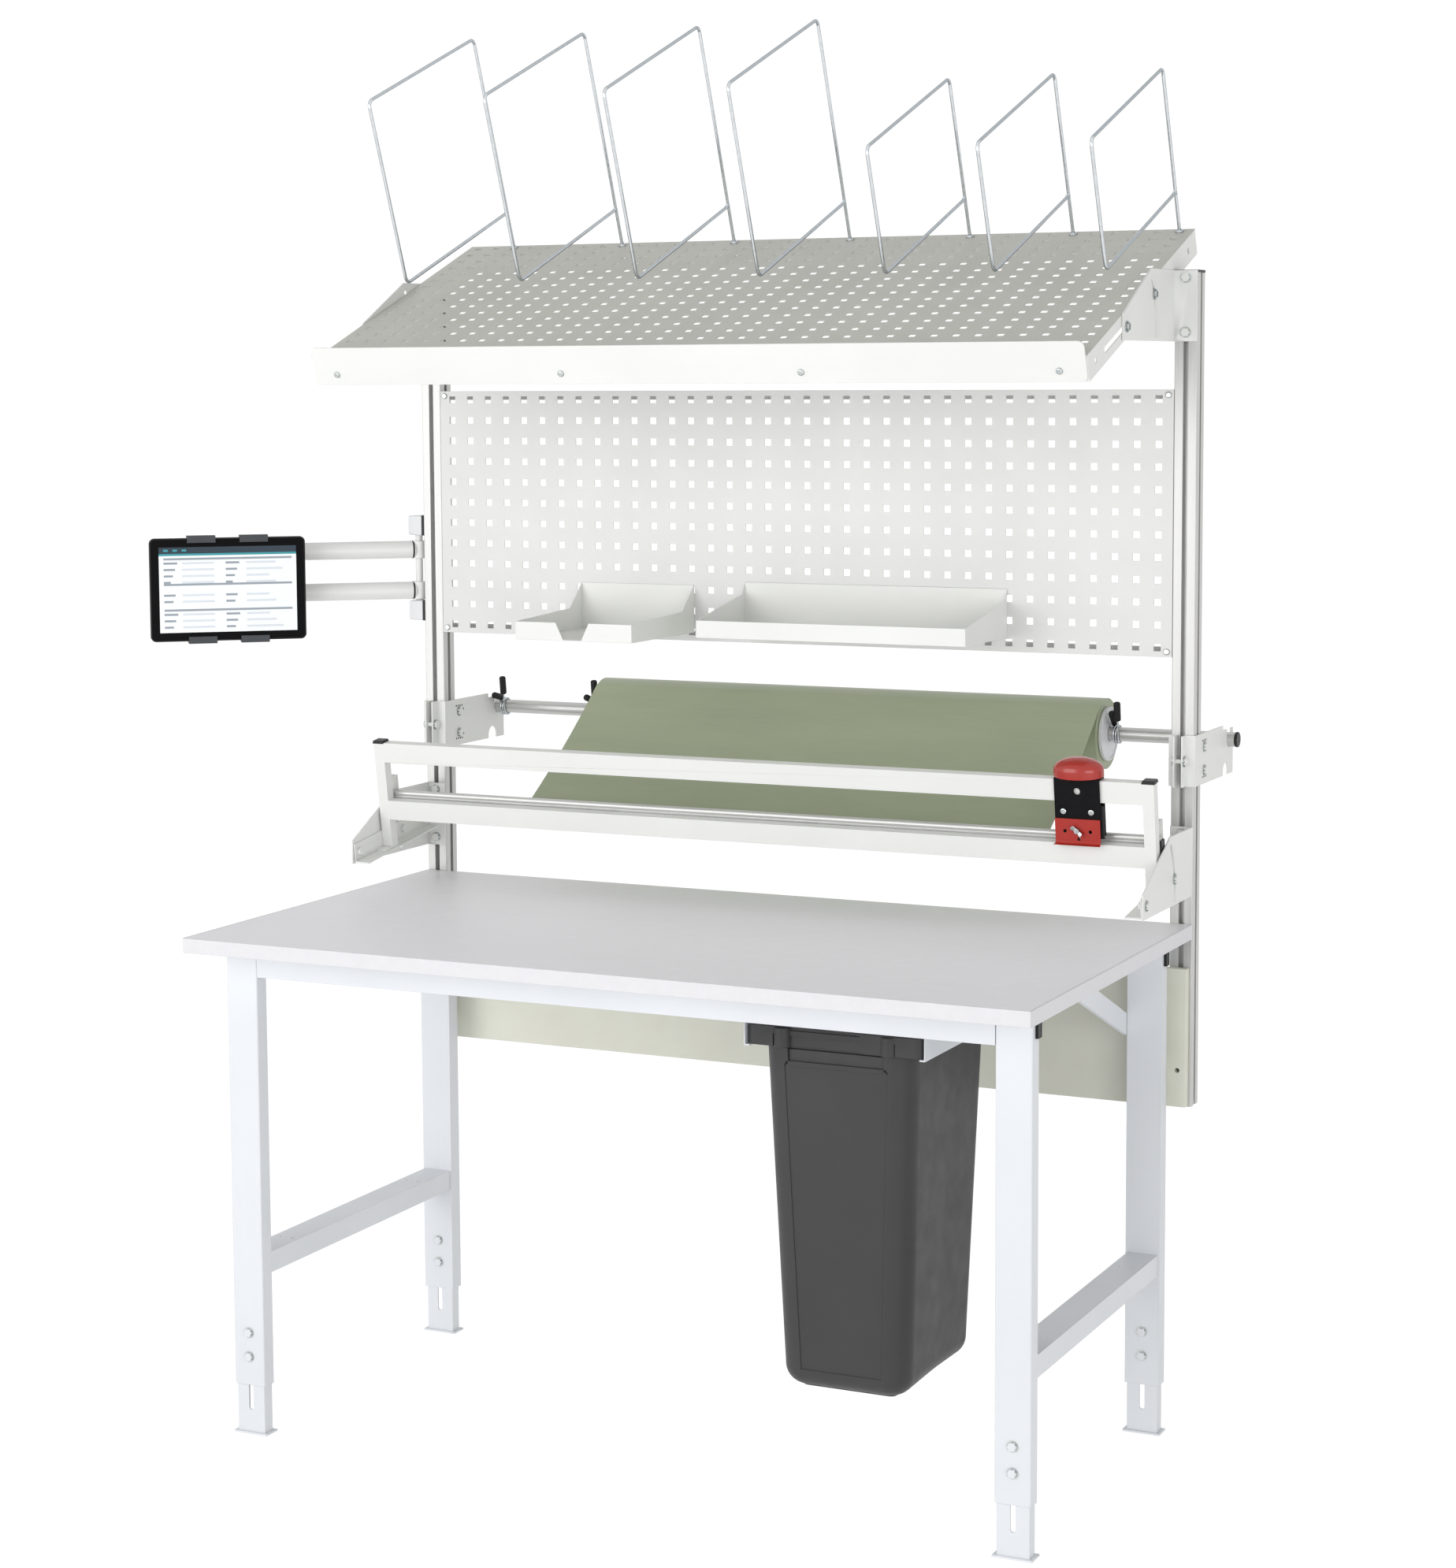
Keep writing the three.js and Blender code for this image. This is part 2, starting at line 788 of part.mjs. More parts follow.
function makeToolPanel() {
  const x = uprightInner - fit;
  const [front, top] = [uprightFront, panelBottom + panelHeight];
  const holes = trayHookPlaces().map((column) => block(
    [column - holeSize / 2, column + holeSize / 2],
    [front - throughCut, front + panelSheet + throughCut],
    [panelRowZ - holeSize / 2, panelRowZ + holeSize / 2]));
  const screws = panelScrewPlaces().map((place) => rod('y', place, screwHeadRadius,
    front + panelSheet / 2, front - screwHeadHeight, shankSides));
  const panel = cut(
    block([-x, x], [front, front + panelFlange], [panelBottom, top]),
    block([panelSheet - x, x - panelSheet], [front + panelSheet, front + panelFlange + throughCut],
      [panelBottom + panelSheet, top - panelSheet]),
    ...holes);
  addPart(packingTable, 'tool_panel', joined([panel, ...screws]), paintedSteel());
}

// Trays: a base, a front lip, two side walls that rise to the back, and a back with hooks

function tray({ left, width, depth, bottom, lip, stepHeight, stepDepth, rear }) {
  const [right, back] = [left + width, flangeRear];
  const front = back - depth;
  const side = [
    [front, bottom],
    [front, bottom + lip],
    [back - stepDepth, bottom + stepHeight],
    [back, bottom + rear],
    [back, bottom],
  ];
  const hooks = hookColumns(left, width).map((column) => {
    const across = [column - hookWidth / 2, column + hookWidth / 2];
    const stemEnd = uprightFront + panelSheet + fit + traySheet;
    return joined([
      block(across, [back - traySheet, stemEnd],
        [panelRowZ - hookStem / 2, panelRowZ + hookStem / 2]),
      block(across, [stemEnd - traySheet, stemEnd],
        [panelRowZ - hookStem / 2 - hookDrop, panelRowZ + hookStem / 2]),
    ]);
  });
  const shell = cut(plate('x', side, left, right),
    block([left + traySheet, right - traySheet], [front + traySheet, back - traySheet],
      [bottom + traySheet, bottom + rear + throughCut]));
  return joined([shell, ...hooks]);
}

function makeTrays() {
  const front = flangeRear - smallTrayDepth;
  const centre = smallTrayLeft + notchCentre;
  const notch = plate('y', [
    [centre - notchBottomWidth / 2, smallTrayBottom + traySheet],
    [centre + notchBottomWidth / 2, smallTrayBottom + traySheet],
    [centre + notchTopWidth / 2, smallTrayBottom + smallTrayLip + fit],
    [centre - notchTopWidth / 2, smallTrayBottom + smallTrayLip + fit],
  ], front - throughCut, front + traySheet + throughCut);
  const small = cut(tray({
    left: smallTrayLeft, width: smallTrayWidth, depth: smallTrayDepth, bottom: smallTrayBottom,
    lip: smallTrayLip, stepHeight: smallTrayStepHeight, stepDepth: smallTrayStepDepth,
    rear: smallTrayRear,
  }), notch);
  addPart(packingTable, 'small_tray', small, paintedSteel());

  const large = tray({
    left: largeTrayLeft, width: largeTrayWidth, depth: largeTrayDepth, bottom: largeTrayBottom,
    lip: largeTrayLip, stepHeight: largeTrayStepHeight, stepDepth: largeTrayStepDepth,
    rear: largeTrayRear,
  });
  addPart(packingTable, 'large_tray', large, paintedSteel());
}

// Side brackets: a plate with a pivot hole and a curved slot, bent over the upright's front

function arcSlotOutline(centre, radius, width, lowAngle, highAngle) {
  const steps = 8;
  const outline = [];
  for (let step = 0; step <= steps; step += 1) {
    const angle = radians(lowAngle + (highAngle - lowAngle) * step / steps);
    const outer = radius + width / 2;
    outline.push([centre[0] + outer * Math.cos(angle), centre[1] + outer * Math.sin(angle)]);
  }
  for (let step = steps; step >= 0; step -= 1) {
    const angle = radians(lowAngle + (highAngle - lowAngle) * step / steps);
    const inner = radius - width / 2;
    outline.push([centre[0] + inner * Math.cos(angle), centre[1] + inner * Math.sin(angle)]);
  }
  return outline;
}

// Pivot and slot bolts of a tilting piece: their heads lie on the brackets' outer faces, and
// each shank passes through its bracket into the piece's side wall
function turningBolts(bracketFace, wallFace, wall) {
  const seat = bracketFace + fit;
  return sides.flatMap(([, sign]) => [0, slotRadius].map((y) => bolt('x', [y, 0], sign * seat,
    sign, seat - wallFace + wall + nutHeight, plainNut)));
}

// The plate stands at `plateX` (its inner face), the flange covers the upright's front
function sideBracket(sign, plateX, bottom) {
  const front = flangeRear - bracketLength;
  const top = bottom + bracketHeight;
  const pivot = [bracketPivotY, bottom + pivotAboveBottom];
  const outline = [
    [front, bottom],
    [flangeRear, bottom],
    [flangeRear, top],
    [flangeRear - bracketTopLength, top],
    [front, bottom + bracketFront],
  ];
  const faces = [sign * plateX, sign * (plateX + bracketSheet)];
  const through = [sign * (plateX - throughCut), sign * (plateX + bracketSheet + throughCut)];
  const flange = block([sign * uprightInner, sign * uprightOuter], [flangeFront, flangeRear],
    [bottom, top]);
  const bolts = [bracketBoltLow, bracketBoltHigh].map((z) => uprightBolt(sign, bottom + z));
  return cut(
    joined([plate('x', outline, ...faces), flange, ...bolts]),
    rod('x', pivot, boltRadius + runningFit, ...through),
    plate('x', arcSlotOutline(pivot, slotRadius, 2 * boltRadius + 2 * runningFit,
      slotLowAngle - boltSlotEnd(), slotHighAngle + boltSlotEnd()), ...through));
}

// Angle by which a bolt's radius lengthens the slot at each end
function boltSlotEnd() {
  return THREE.MathUtils.radToDeg((boltRadius + runningFit) / slotRadius);
}

function makeSideBrackets() {
  for (const [name, plateX, bottom] of [
    ['shelf_bracket', uprightInner - bracketSheet, shelfPivotZ - pivotAboveBottom],
    ['cutter_bracket', uprightOuter - bracketSheet, cutterBracketBottom],
  ]) {
    for (const [side, sign] of sides) {
      addPart(packingTable, `${name}_${side}`, sideBracket(sign, plateX, bottom),
        paintedSteel());
    }
  }
}

// Tilting shelf, in a group at its pivot: y runs up the slope, z stands square to the sheet

const shelfGroup = new THREE.Group();
shelfGroup.position.set(0, bracketPivotY, shelfPivotZ);
shelfGroup.rotation.x = radians(shelfTilt);
packingTable.add(shelfGroup);

const shelfHalf = uprightInner - bracketSheet - fit;
const shelfFront = -shelfPivotFromFront;
const shelfBack = shelfFront + shelfDepth;
const dividerRow = shelfBack - shelfRearRow;

// Columns count from the shelf's middle. The tall dividers are spread over the left end up to
// the first column named, and the short ones fill the rest up to the last column.
function dividerColumns() {
  const last = Math.floor((shelfHalf - holePitch / 2) / holePitch);
  const tallStep = last / (tallDividerCount - 1);
  const shortStep = (last - firstDividerColumn - tallStep) / (shortDividerCount - 1);
  const columns = [];
  for (let index = 0; index < tallDividerCount; index += 1) {
    columns.push([Math.round(firstDividerColumn - last + index * tallStep), tallDividerHeight]);
  }
  for (let index = shortDividerCount - 1; index >= 0; index -= 1) {
    columns.push([Math.round(last - index * shortStep), shortDividerHeight]);
  }
  return columns.map(([column, height]) => [column * holePitch, height]);
}

function makeShelf() {
  const [top, low] = [shelfPivotBelowTop, shelfPivotBelowTop - shelfFlange];
  const holes = dividerColumns().map(([x]) => block(
    [x - holeSize / 2, x + holeSize / 2],
    [dividerRow - holeSize / 2, dividerRow + holeSize / 2],
    [top - shelfSheet - throughCut, top + throughCut]));
  const sideHoles = [];
  for (const [, sign] of sides) {
    const through = [sign * (shelfHalf - shelfSheet - throughCut), sign * (shelfHalf + throughCut)];
    sideHoles.push(plate('x', slotOutline(shelfSlotLength, shelfSlotWidth), ...through)
      .translate([0, shelfFront + shelfSlotFromFront + shelfSlotLength / 2, 0]));
  }
  const screwHoles = lipScrewPlaces().map(([x, z]) => rod('y', [x, z], screwRadius + fit,
    shelfFront - throughCut, shelfFront + shelfSheet + throughCut, shankSides));
  const shelf = cut(
    block([-shelfHalf, shelfHalf], [shelfFront, shelfBack], [low, top]),
    block([shelfSheet - shelfHalf, shelfHalf - shelfSheet],
      [shelfFront + shelfSheet, shelfBack - shelfSheet], [low - throughCut, top - shelfSheet]),
    ...holes, ...sideHoles, ...screwHoles);
  addPart(shelfGroup, 'shelf', joined([shelf, ...turningBolts(uprightInner, shelfHalf,
    shelfSheet)]), paintedSteel());
}

function lipScrewPlaces() {
  const z = shelfPivotBelowTop - shelfFlange - lipBelow + lipScrewHeight;
  const end = shelfHalf - lipScrewMargin;
  const spacing = 2 * end / (lipScrewCount - 1);
  return Array.from({ length: lipScrewCount }, (_, index) => [index * spacing - end, z]);
}

function makeShelfLip() {
  const rear = shelfFront - fit;
  const bottom = shelfPivotBelowTop - shelfFlange - lipBelow;
  const half = shelfHalf - lipInset;
  const outline = roundedRectangle(2 * half, lipHeight, lipCorner);
  const face = rear - lipSheet;
  const screws = lipScrewPlaces().flatMap(([x, z]) => [
    rod('y', [x, z], screwHeadRadius, rear - lipSheet / 2, face - screwHeadHeight, shankSides),
    rod('y', [x, z], screwRadius, face, rear + screwLength, shankSides),
  ]);
  const lip = plate('y', outline, face, rear).translate([0, 0, bottom + lipHeight / 2]);
  addPart(shelfGroup, 'shelf_lip', joined([lip, ...screws]), paintedSteel());
}

// Wire divider: the rear leg runs from its foot under the sheet up to the top, forward and
// down the front; the bottom wire is welded across
function divider(height) {
  const [rear, front] = [0, -dividerDepth];
  const [low, high, foot] = [dividerBottom, dividerBottom + height, -dividerFoot];
  const corner = (y, z, startAngle) => Array.from({ length: cornerSteps + 1 }, (_, step) => {
    const angle = startAngle + step * Math.PI / 2 / cornerSteps;
    return new THREE.Vector3(0, y + dividerCorner * Math.cos(angle),
      z + dividerCorner * Math.sin(angle));
  });
  const hoop = wire([
    new THREE.Vector3(0, rear, foot),
    ...corner(rear - dividerCorner, high - dividerCorner, 0),
    ...corner(front + dividerCorner, high - dividerCorner, Math.PI / 2),
    ...corner(front + dividerCorner, low + dividerCorner, Math.PI),
    new THREE.Vector3(0, rear - 2 * wireRadius, low),
  ], wireRadius);
  const weldEnd = rod('y', [0, low], wireRadius, rear, rear - 3 * wireRadius, shankSides);
  const collar = rod('z', [0, rear], dividerCollarRadius, fit, fit + dividerCollarHeight);
  return joined([hoop, weldEnd, collar]);
}

function makeDividers() {
  dividerColumns().forEach(([x, height], index) => {
    const mesh = addPart(shelfGroup, `divider_${index + 1}`, divider(height), chrome());
    mesh.position.set(x, dividerRow, shelfPivotBelowTop);
  });
}

// Film roll holder

const rollBracketTop = rollBracketBottom + rollBracketHeight;
const clampBoltY = flangeRear - clampLip / 2 - rollBracketSheet / 2;
const clampBoltZ = (rollBracketBottom + rollBracketTop) / 2;

// One bracket, drawn for an upright whose right face is at x 0
function rollBracket() {
  const rear = flangeRear + rollBracketLength;
  const slotR = barRadius + barSlotClearance;
  const tabTop = rollBracketTop + hookTabHeight;
  const outline = [
    [flangeRear - rollBracketSheet, rollBracketBottom],
    [rear, rollBracketBottom],
    [rear, tabTop],
    [barY + slotR, tabTop],
    [barY + slotR, rollBracketTop],
    [barY - slotR, rollBracketTop],
    [barY - slotR, tabTop],
    [barY - slotR - hookTabWidth, tabTop],
    [barY - slotR - hookTabWidth - hookTabHeight, rollBracketTop],
    [flangeRear - rollBracketSheet, rollBracketTop],
  ];
  const through = [-throughCut, rollBracketSheet + fit + throughCut];
  const [flangeFrontY, lipX] = [flangeRear - rollBracketSheet, rollBracketSheet + fit - rollFlange];
  const body = joined([
    plate('x', outline, fit, fit + rollBracketSheet),
    block([lipX, fit + rollBracketSheet], [flangeFrontY, flangeRear],
      [rollBracketBottom, rollBracketTop]),
    block([lipX, lipX + rollBracketSheet], [flangeRear - clampLip, flangeRear],
      [rollBracketBottom, rollBracketTop]),
  ]);
  const spareTop = rollBracketBottom + spareNotchHeight;
  const spareY = flangeRear + spareNotchY;
  const indexBolts = [-1, 1].map((place) => bolt('x',
    [flangeRear + indexBoltY, clampBoltZ + place * indexBoltSpread / 2], fit + rollBracketSheet,
    1, rollBracketSheet + nutHeight, plainNut));
  return cut(joined([body, ...indexBolts]),
    rod('x', [barY, barZ], slotR, ...through, roundSides),
    block(through, [barY - slotR, barY + slotR], [barZ, tabTop + throughCut]),
    rod('x', [spareY, spareTop - spareNotchRadius], spareNotchRadius, ...through),
    block(through, [spareY - spareNotchRadius, spareY + spareNotchRadius],
      [rollBracketBottom - throughCut, spareTop - spareNotchRadius]));
}

// The counter angle clamps the upright from its other side; its left face is at x 0
function counterAngle() {
  const height = [rollBracketBottom, rollBracketTop];
  return joined([
    block([-fit - rollBracketSheet, -fit],
      [flangeRear - rollBracketSheet, flangeRear + clampDepth], height),
    block([-fit - rollBracketSheet, clampFlange], [flangeRear - rollBracketSheet, flangeRear],
      height),
    block([clampFlange - rollBracketSheet, clampFlange], [flangeRear - clampLip, flangeRear],
      height),
  ]);
}

function makeRollBrackets() {
  for (const [side, sign] of sides) {
    const lipX = rollBracketSheet + fit - rollFlange;
    const headSeat = clampFlange - uprightSize - rollBracketSheet;
    const clampBolt = bolt('x', [clampBoltY, clampBoltZ], headSeat, -1,
      lipX + rollBracketSheet + nutHeight - headSeat, plainNut);
    const bracket = addPart(packingTable, `roll_bracket_${side}`,
      joined([rollBracket(), counterAngle().translate([-uprightSize, 0, 0]), clampBolt]),
      paintedSteel());
    bracket.position.x = sign * uprightX + uprightSize / 2;
  }
}

function makeRollBar() {
  const bar = cut(
    rod('x', [barY, barZ], barRadius, barLeftEnd, barRightEnd, roundSides),
    rod('x', [barY, barZ], barRadius - barWall, barLeftEnd - throughCut,
      barRightEnd + throughCut, roundSides));
  addPart(packingTable, 'roll_bar', bar, anodised());
  const capFace = barRightEnd + fit;
  const cap = joined([
    rod('x', [barY, barZ], barCapRadius, capFace, capFace + barCapThickness, roundSides),
    rod('x', [barY, barZ], barRadius - barWall - runningFit, barRightEnd - barCapSpigot,
      capFace + barCapThickness / 2, roundSides),
  ]);
  addPart(packingTable, 'roll_bar_cap', cap, blackPlastic());
}

const rollLeft = rollCentreX - rollLength / 2;
const rollRight = rollCentreX + rollLength / 2;

function makeFilmRoll() {
  const roll = cut(
    rod('x', [barY, barZ], rollRadius, rollLeft, rollRight, 2 * roundSides),
    rod('x', [barY, barZ], coreRadius, rollLeft - throughCut, rollRight + throughCut,
      roundSides));
  addPart(packingTable, 'film_roll', roll, finish(0x94a084, 0.45, 0));

  for (const [side, sign] of sides) {
    const end = rollCentreX + sign * rollLength / 2;
    const cone = cut(joined([
      rod('x', [barY, barZ], coneFlangeRadius, end + sign * fit,
        end + sign * (fit + coneFlange), roundSides),
      rod('x', [barY, barZ], coreRadius - 2 * runningFit, end + sign * (fit + coneFlange / 2),
        end - sign * coneDepth, roundSides, coneTipRadius),
    ]), rod('x', [barY, barZ], barRadius + fit, end - sign * (coneDepth + throughCut),
      end + sign * (coneFlange + throughCut), roundSides));
    addPart(packingTable, `roll_cone_${side}`, cone, finish(0xeeeeec, 0.4, 0));
  }
}

// Spring collar: one wire with two legs, wound round the bar, its legs in two sleeves

const curlSteps = 8;
const curlSides = 5;
const coilRadius = (barRadius + collarBore + collarWire) / Math.cos(Math.PI / curlSteps);

function collarPoints(startX) {
  const points = [];
  const steps = curlSteps * collarTurns;
  const firstAngle = radians(collarFirstAngle);
  const sweep = 2 * Math.PI * collarTurns - radians(collarSpread);
  const place = (step) => {
    const angle = firstAngle + sweep * step / steps;
    return new THREE.Vector3(startX + collarPitch * collarTurns * step / steps,
      coilRadius * Math.cos(angle), coilRadius * Math.sin(angle));
  };
  const tangent = (step, sign) => place(step + sign).sub(place(step)).setX(0).normalize();
  const legDirection = (step, sign) => {
    const out = place(step).setX(0).normalize();
    return out.multiplyScalar(collarLegLean).addScaledVector(tangent(step, sign), -1).normalize();
  };
  points.push(place(0).addScaledVector(legDirection(0, 1), collarLeg));
  for (let step = 0; step <= steps; step += 1) points.push(place(step));
  points.push(place(steps).addScaledVector(legDirection(steps, -1), collarLeg));
  return points;
}

const collarLegLean = 1.6;

function coilGap(points) {
  let least = Infinity;
  for (let a = 0; a < points.length; a += 1) {
    for (let b = a + curlSteps - 2; b < points.length; b += 1) {
      const line = new THREE.Line3(points[b], points[Math.min(b + 1, points.length - 1)]);
      const near = line.closestPointToPoint(points[a], true, new THREE.Vector3());
      least = Math.min(least, near.distanceTo(points[a]) - 2 * collarWire);
    }
  }
  return least;
}

function collarGrip(inner, outer) {
  const direction = outer.clone().sub(inner).normalize();
  const geometry = new THREE.CylinderGeometry(collarGripRadius, collarGripRadius,
    collarGripLength, smallSides);
  geometry.rotateX(Math.PI / 2);
  const turn = new THREE.Quaternion().setFromUnitVectors(new THREE.Vector3(0, 0, 1), direction);
  const centre = outer.clone().addScaledVector(direction, fit - collarGripLength / 2 + collarWire);
  geometry.applyMatrix4(new THREE.Matrix4().compose(centre, turn, new THREE.Vector3(1, 1, 1)));
  return solid(geometry);
}

function makeCollars() {
  const width = collarPitch * collarTurns;
  const leftInner = -uprightX + uprightSize / 2 + fit + rollBracketSheet;
  const starts = [
    leftInner + freeCollarGap,
    rollLeft - fit - coneFlange - fit - collarGripRadius - width,
    rollRight + fit + coneFlange + fit + collarGripRadius,
  ];
  starts.forEach((start, index) => {
    const points = collarPoints(start).map((point) => point.add(
      new THREE.Vector3(0, barY, barZ)));
    const collar = joined([
      wire(points, collarWire, curlSides),
      collarGrip(points[1], points[0]),
      collarGrip(points[points.length - 2], points[points.length - 1]),
    ]);
    addPart(packingTable, `spring_collar_${index + 1}`, collar, zinc());
  });
  console.log(`spring collar, least gap to itself: ${coilGap(collarPoints(0)).toFixed(2)} mm`);
}

// Cutter, in a group at its pivot: y runs back along the arms, z stands square to them

const cutterPivotZ = cutterBracketBottom + pivotAboveBottom;
const cutterGroup = new THREE.Group();
cutterGroup.position.set(0, bracketPivotY, cutterPivotZ);
cutterGroup.rotation.x = radians(cutterTilt);
packingTable.add(cutterGroup);

const armOuter = uprightOuter - bracketSheet - fit;
const postOuter = armOuter - armSheet - fit;
const postInner = postOuter - postSize;
const postRear = postFront + postSize;
const postBottom = armSheet - armBelow + fit;
const pressFront = postRear + pressGap;
const pressRear = pressFront + pressDepth;
const beadZ = pressBottom + pressHeight + pressBeadRadius / 2;
const guideTop = beadZ + pressBeadRadius + pressLift + 2 * pressGap;

function makeCutterArms() {
  const bolts = turningBolts(uprightOuter, armOuter, armSheet);
  sides.forEach(([side, sign], index) => {
    const arm = joined([
      block([sign * (armOuter - armSheet), sign * armOuter], [-armFront, armRear],
        [-armBelow, armHeight - armBelow]),
      block([sign * (armOuter - armFlange), sign * armOuter], [-armFront, armRear],
        [-armBelow, armSheet - armBelow]),
      ...bolts.slice(2 * index, 2 * index + 2),
    ]);
    addPart(cutterGroup, `cutter_arm_${side}`, arm, paintedSteel());
  });
}

function railChannel(low, height) {
  return cut(
    block([-postInner - fit, postInner + fit], [postFront, postRear], [low, low + height]),
    block([-postInner, postInner], [postFront + postWall, postRear + throughCut],
      [low + postWall, low + height - postWall]));
}

function makeCutterFrame() {
  const pieces = [
    railChannel(postTop - upperRailHeight, upperRailHeight),
    railChannel(lowerRailBottom, lowerRailHeight),
  ];
  for (const [, sign] of sides) {
    const across = [sign * postInner, sign * postOuter];
    pieces.push(block(across, [postFront, postRear], [postBottom, postTop]));
    pieces.push(block(across, [postRear - postFootDepth, postRear],
      [postBottom, postBottom + armSheet]));
    pieces.push(block(across, [pressRear + guideSheet, pressRear + 2 * guideSheet],
      [guideBottom, guideTop]));
    for (const high of [guideTop, pressBottom - fit]) {
      pieces.push(block(across, [postRear - postWall, pressRear + 2 * guideSheet],
        [high - guideSheet, high]));
    }
  }
  addPart(cutterGroup, 'cutter_frame', joined(pieces), paintedSteel());
}

function makePressBar() {
  const centreY = (pressFront + pressRear) / 2;
  const bar = joined([
    block([-postOuter, postOuter], [pressFront, pressRear],
      [pressBottom, pressBottom + pressHeight]),
    rod('x', [centreY, beadZ], pressBeadRadius, -postOuter, postOuter),
    ...sides.map(([, sign]) => block([sign * postOuter, sign * (postOuter + armSheet)],
      [pressFront, pressRear], [pressBottom, pressBottom + pressHeight])),
  ]);
  addPart(cutterGroup, 'press_bar', bar, anodised());
}

const carriageBack = postFront - carriageFrontGap;
const carriageFace = carriageBack - carriageSheet;
const carriageTop = postTop + runningFit + carriageSheet;

function makeCarriage() {
  const across = [carriageX - carriageWidth / 2, carriageX + carriageWidth / 2];
  const rear = postRear + runningFit;
  const frontLow = postTop - carriageFrontDrop;
  const body = cut(
    joined([
      block(across, [carriageFace, carriageBack], [frontLow, carriageTop]),
      block(across, [carriageFace, rear + guideSheet], [postTop + runningFit, carriageTop]),
      block(across, [rear, rear + guideSheet], [postTop - carriageRearDrop, carriageTop]),
    ]),
    rod('y', [carriageX, postTop - upperRailHeight / 2], carriageSight,
      carriageFace - throughCut, carriageBack + fit));
  const screws = [-1, 1].map((side) => rod('y',
    [carriageX + side * carriageWidth / 3, frontLow + 2 * screwHeadRadius], screwHeadRadius,
    carriageFace + fit, carriageFace - screwHeadHeight, shankSides));
  addPart(cutterGroup, 'cutter_carriage', joined([body, ...screws]), blackPlastic());
}

function makeBladePlate() {
  const across = [carriageX - bladePlateWidth / 2, carriageX + bladePlateWidth / 2];
  const top = postTop - carriageFrontDrop - fit;
  const low = top - bladePlateHeight;
  const centreZ = (top + low) / 2;
  const plateFaces = [carriageFace, carriageBack];
  const blade = block([carriageX - bladeWidth / 2, carriageX + bladeWidth / 2],
    [carriageBack - fit, carriageBack + bladeThickness],
    [low - bladeFoot / 2, low - bladeFoot / 2 + bladeHeight]);
  const nut = joined([
    rod('y', [carriageX, centreZ], boltRadius, carriageFace + fit, carriageFace - nutHeight,
      shankSides),
    block([carriageX - wingSpan / 2, carriageX + wingSpan / 2],
      [carriageFace - nutHeight, carriageFace - nutHeight / 2],
      [centreZ - wingHeight / 2, centreZ + wingHeight / 2]),
  ]);
  const body = joined([
    block(across, plateFaces, [low, top]),
    block(across, [carriageFace - bladeFoot, carriageBack], [low, low + carriageSheet]),
    blade,
    nut,
  ]);
  addPart(cutterGroup, 'blade_plate', body, redPaint());
}

// Domed grip: an upright band with a crown, drawn as a round form and stretched to an oval
function makeGrip() {
  const steps = 5;
  const low = carriageTop + fit;
  const profile = [new THREE.Vector2(0, 0), new THREE.Vector2(gripDepth / 2, 0),
    new THREE.Vector2(gripDepth / 2, gripBand)];
  for (let step = 1; step < steps; step += 1) {
    const angle = (step / steps) * Math.PI / 2;
    profile.push(new THREE.Vector2(gripDepth / 2 * Math.cos(angle),
      gripBand + gripCrown * Math.sin(angle)));
  }
  profile.push(new THREE.Vector2(0, gripBand + gripCrown));
  const geometry = new THREE.LatheGeometry(profile, roundSides);
  geometry.rotateX(Math.PI / 2);
  geometry.scale(gripWidth / gripDepth, 1, 1);
  geometry.translate(carriageX, (postFront + postRear) / 2, low);
  addPart(cutterGroup, 'carriage_grip', solid(geometry), redPaint());
}

// Film web from the roll down to the press bar, hanging in a shallow sag

function cutterToWorld(y, z) {
  const point = new THREE.Vector3(0, y, z).applyAxisAngle(new THREE.Vector3(1, 0, 0),
    radians(cutterTilt));
  return [point.y + bracketPivotY, point.z + cutterPivotZ];
}

function makeFilmWeb() {
  const end = cutterToWorld(pressRear + webGap + webThickness, pressBottom);
  const radius = rollRadius + webGap;
  const [dy, dz] = [barY - end[0], barZ - end[1]];
  const climb = Math.atan2(dz, dy) + Math.asin((radius + webThickness / 2) / Math.hypot(dy, dz));
  const start = [barY - (radius + webThickness / 2) * Math.sin(climb),
    barZ + (radius + webThickness / 2) * Math.cos(climb)];
  const steps = 8;
  const [upper, lower] = [[], []];
  for (let step = 0; step <= steps; step += 1) {
    const share = step / steps;
    const sag = webSag * 4 * share * (1 - share);
    const centre = [
      start[0] + (end[0] - start[0]) * share + sag * Math.sin(climb),
      start[1] + (end[1] - start[1]) * share - sag * Math.cos(climb),
    ];
    const half = [webThickness / 2 * Math.sin(climb), webThickness / 2 * Math.cos(climb)];
    upper.push([centre[0] - half[0], centre[1] + half[1]]);
    lower.unshift([centre[0] + half[0], centre[1] - half[1]]);
  }
  addPart(packingTable, 'film_web', plate('x', [...upper, ...lower], rollLeft, rollRight),
    finish(0x94a084, 0.45, 0));
}

// Tablet arm: a strip and two blocks on the upright hold a post, on which two tubes swing

const armPostX = -uprightOuter - fit - stripThickness - armPostOffset;
const armTubeHighZ = armTubeLowZ + armTubeSpacing;
const armBracketTop = armBracketBottom + armBracketHeight;

function makeArmBracket() {
  const face = -uprightOuter - fit;
  const across = [uprightY - stripWidth / 2, uprightY + stripWidth / 2];
  const blockX = [face - stripThickness - clampBlock, face];
  const body = joined([
    block([face - stripThickness, face], across, [armBracketBottom, armBracketTop]),
    block(blockX, across, [armBracketBottom, armBracketBottom + clampBlockHeight]),
    block(blockX, across, [armBracketTop - clampBlockHeight, armBracketTop]),
    rod('z', [armPostX, uprightY], armPostRadius,
      armBracketBottom + clampBlockHeight / 2, armBracketTop - clampBlockHeight / 2),
  ]);
  addPart(packingTable, 'arm_bracket', body, paintedSteel());
}

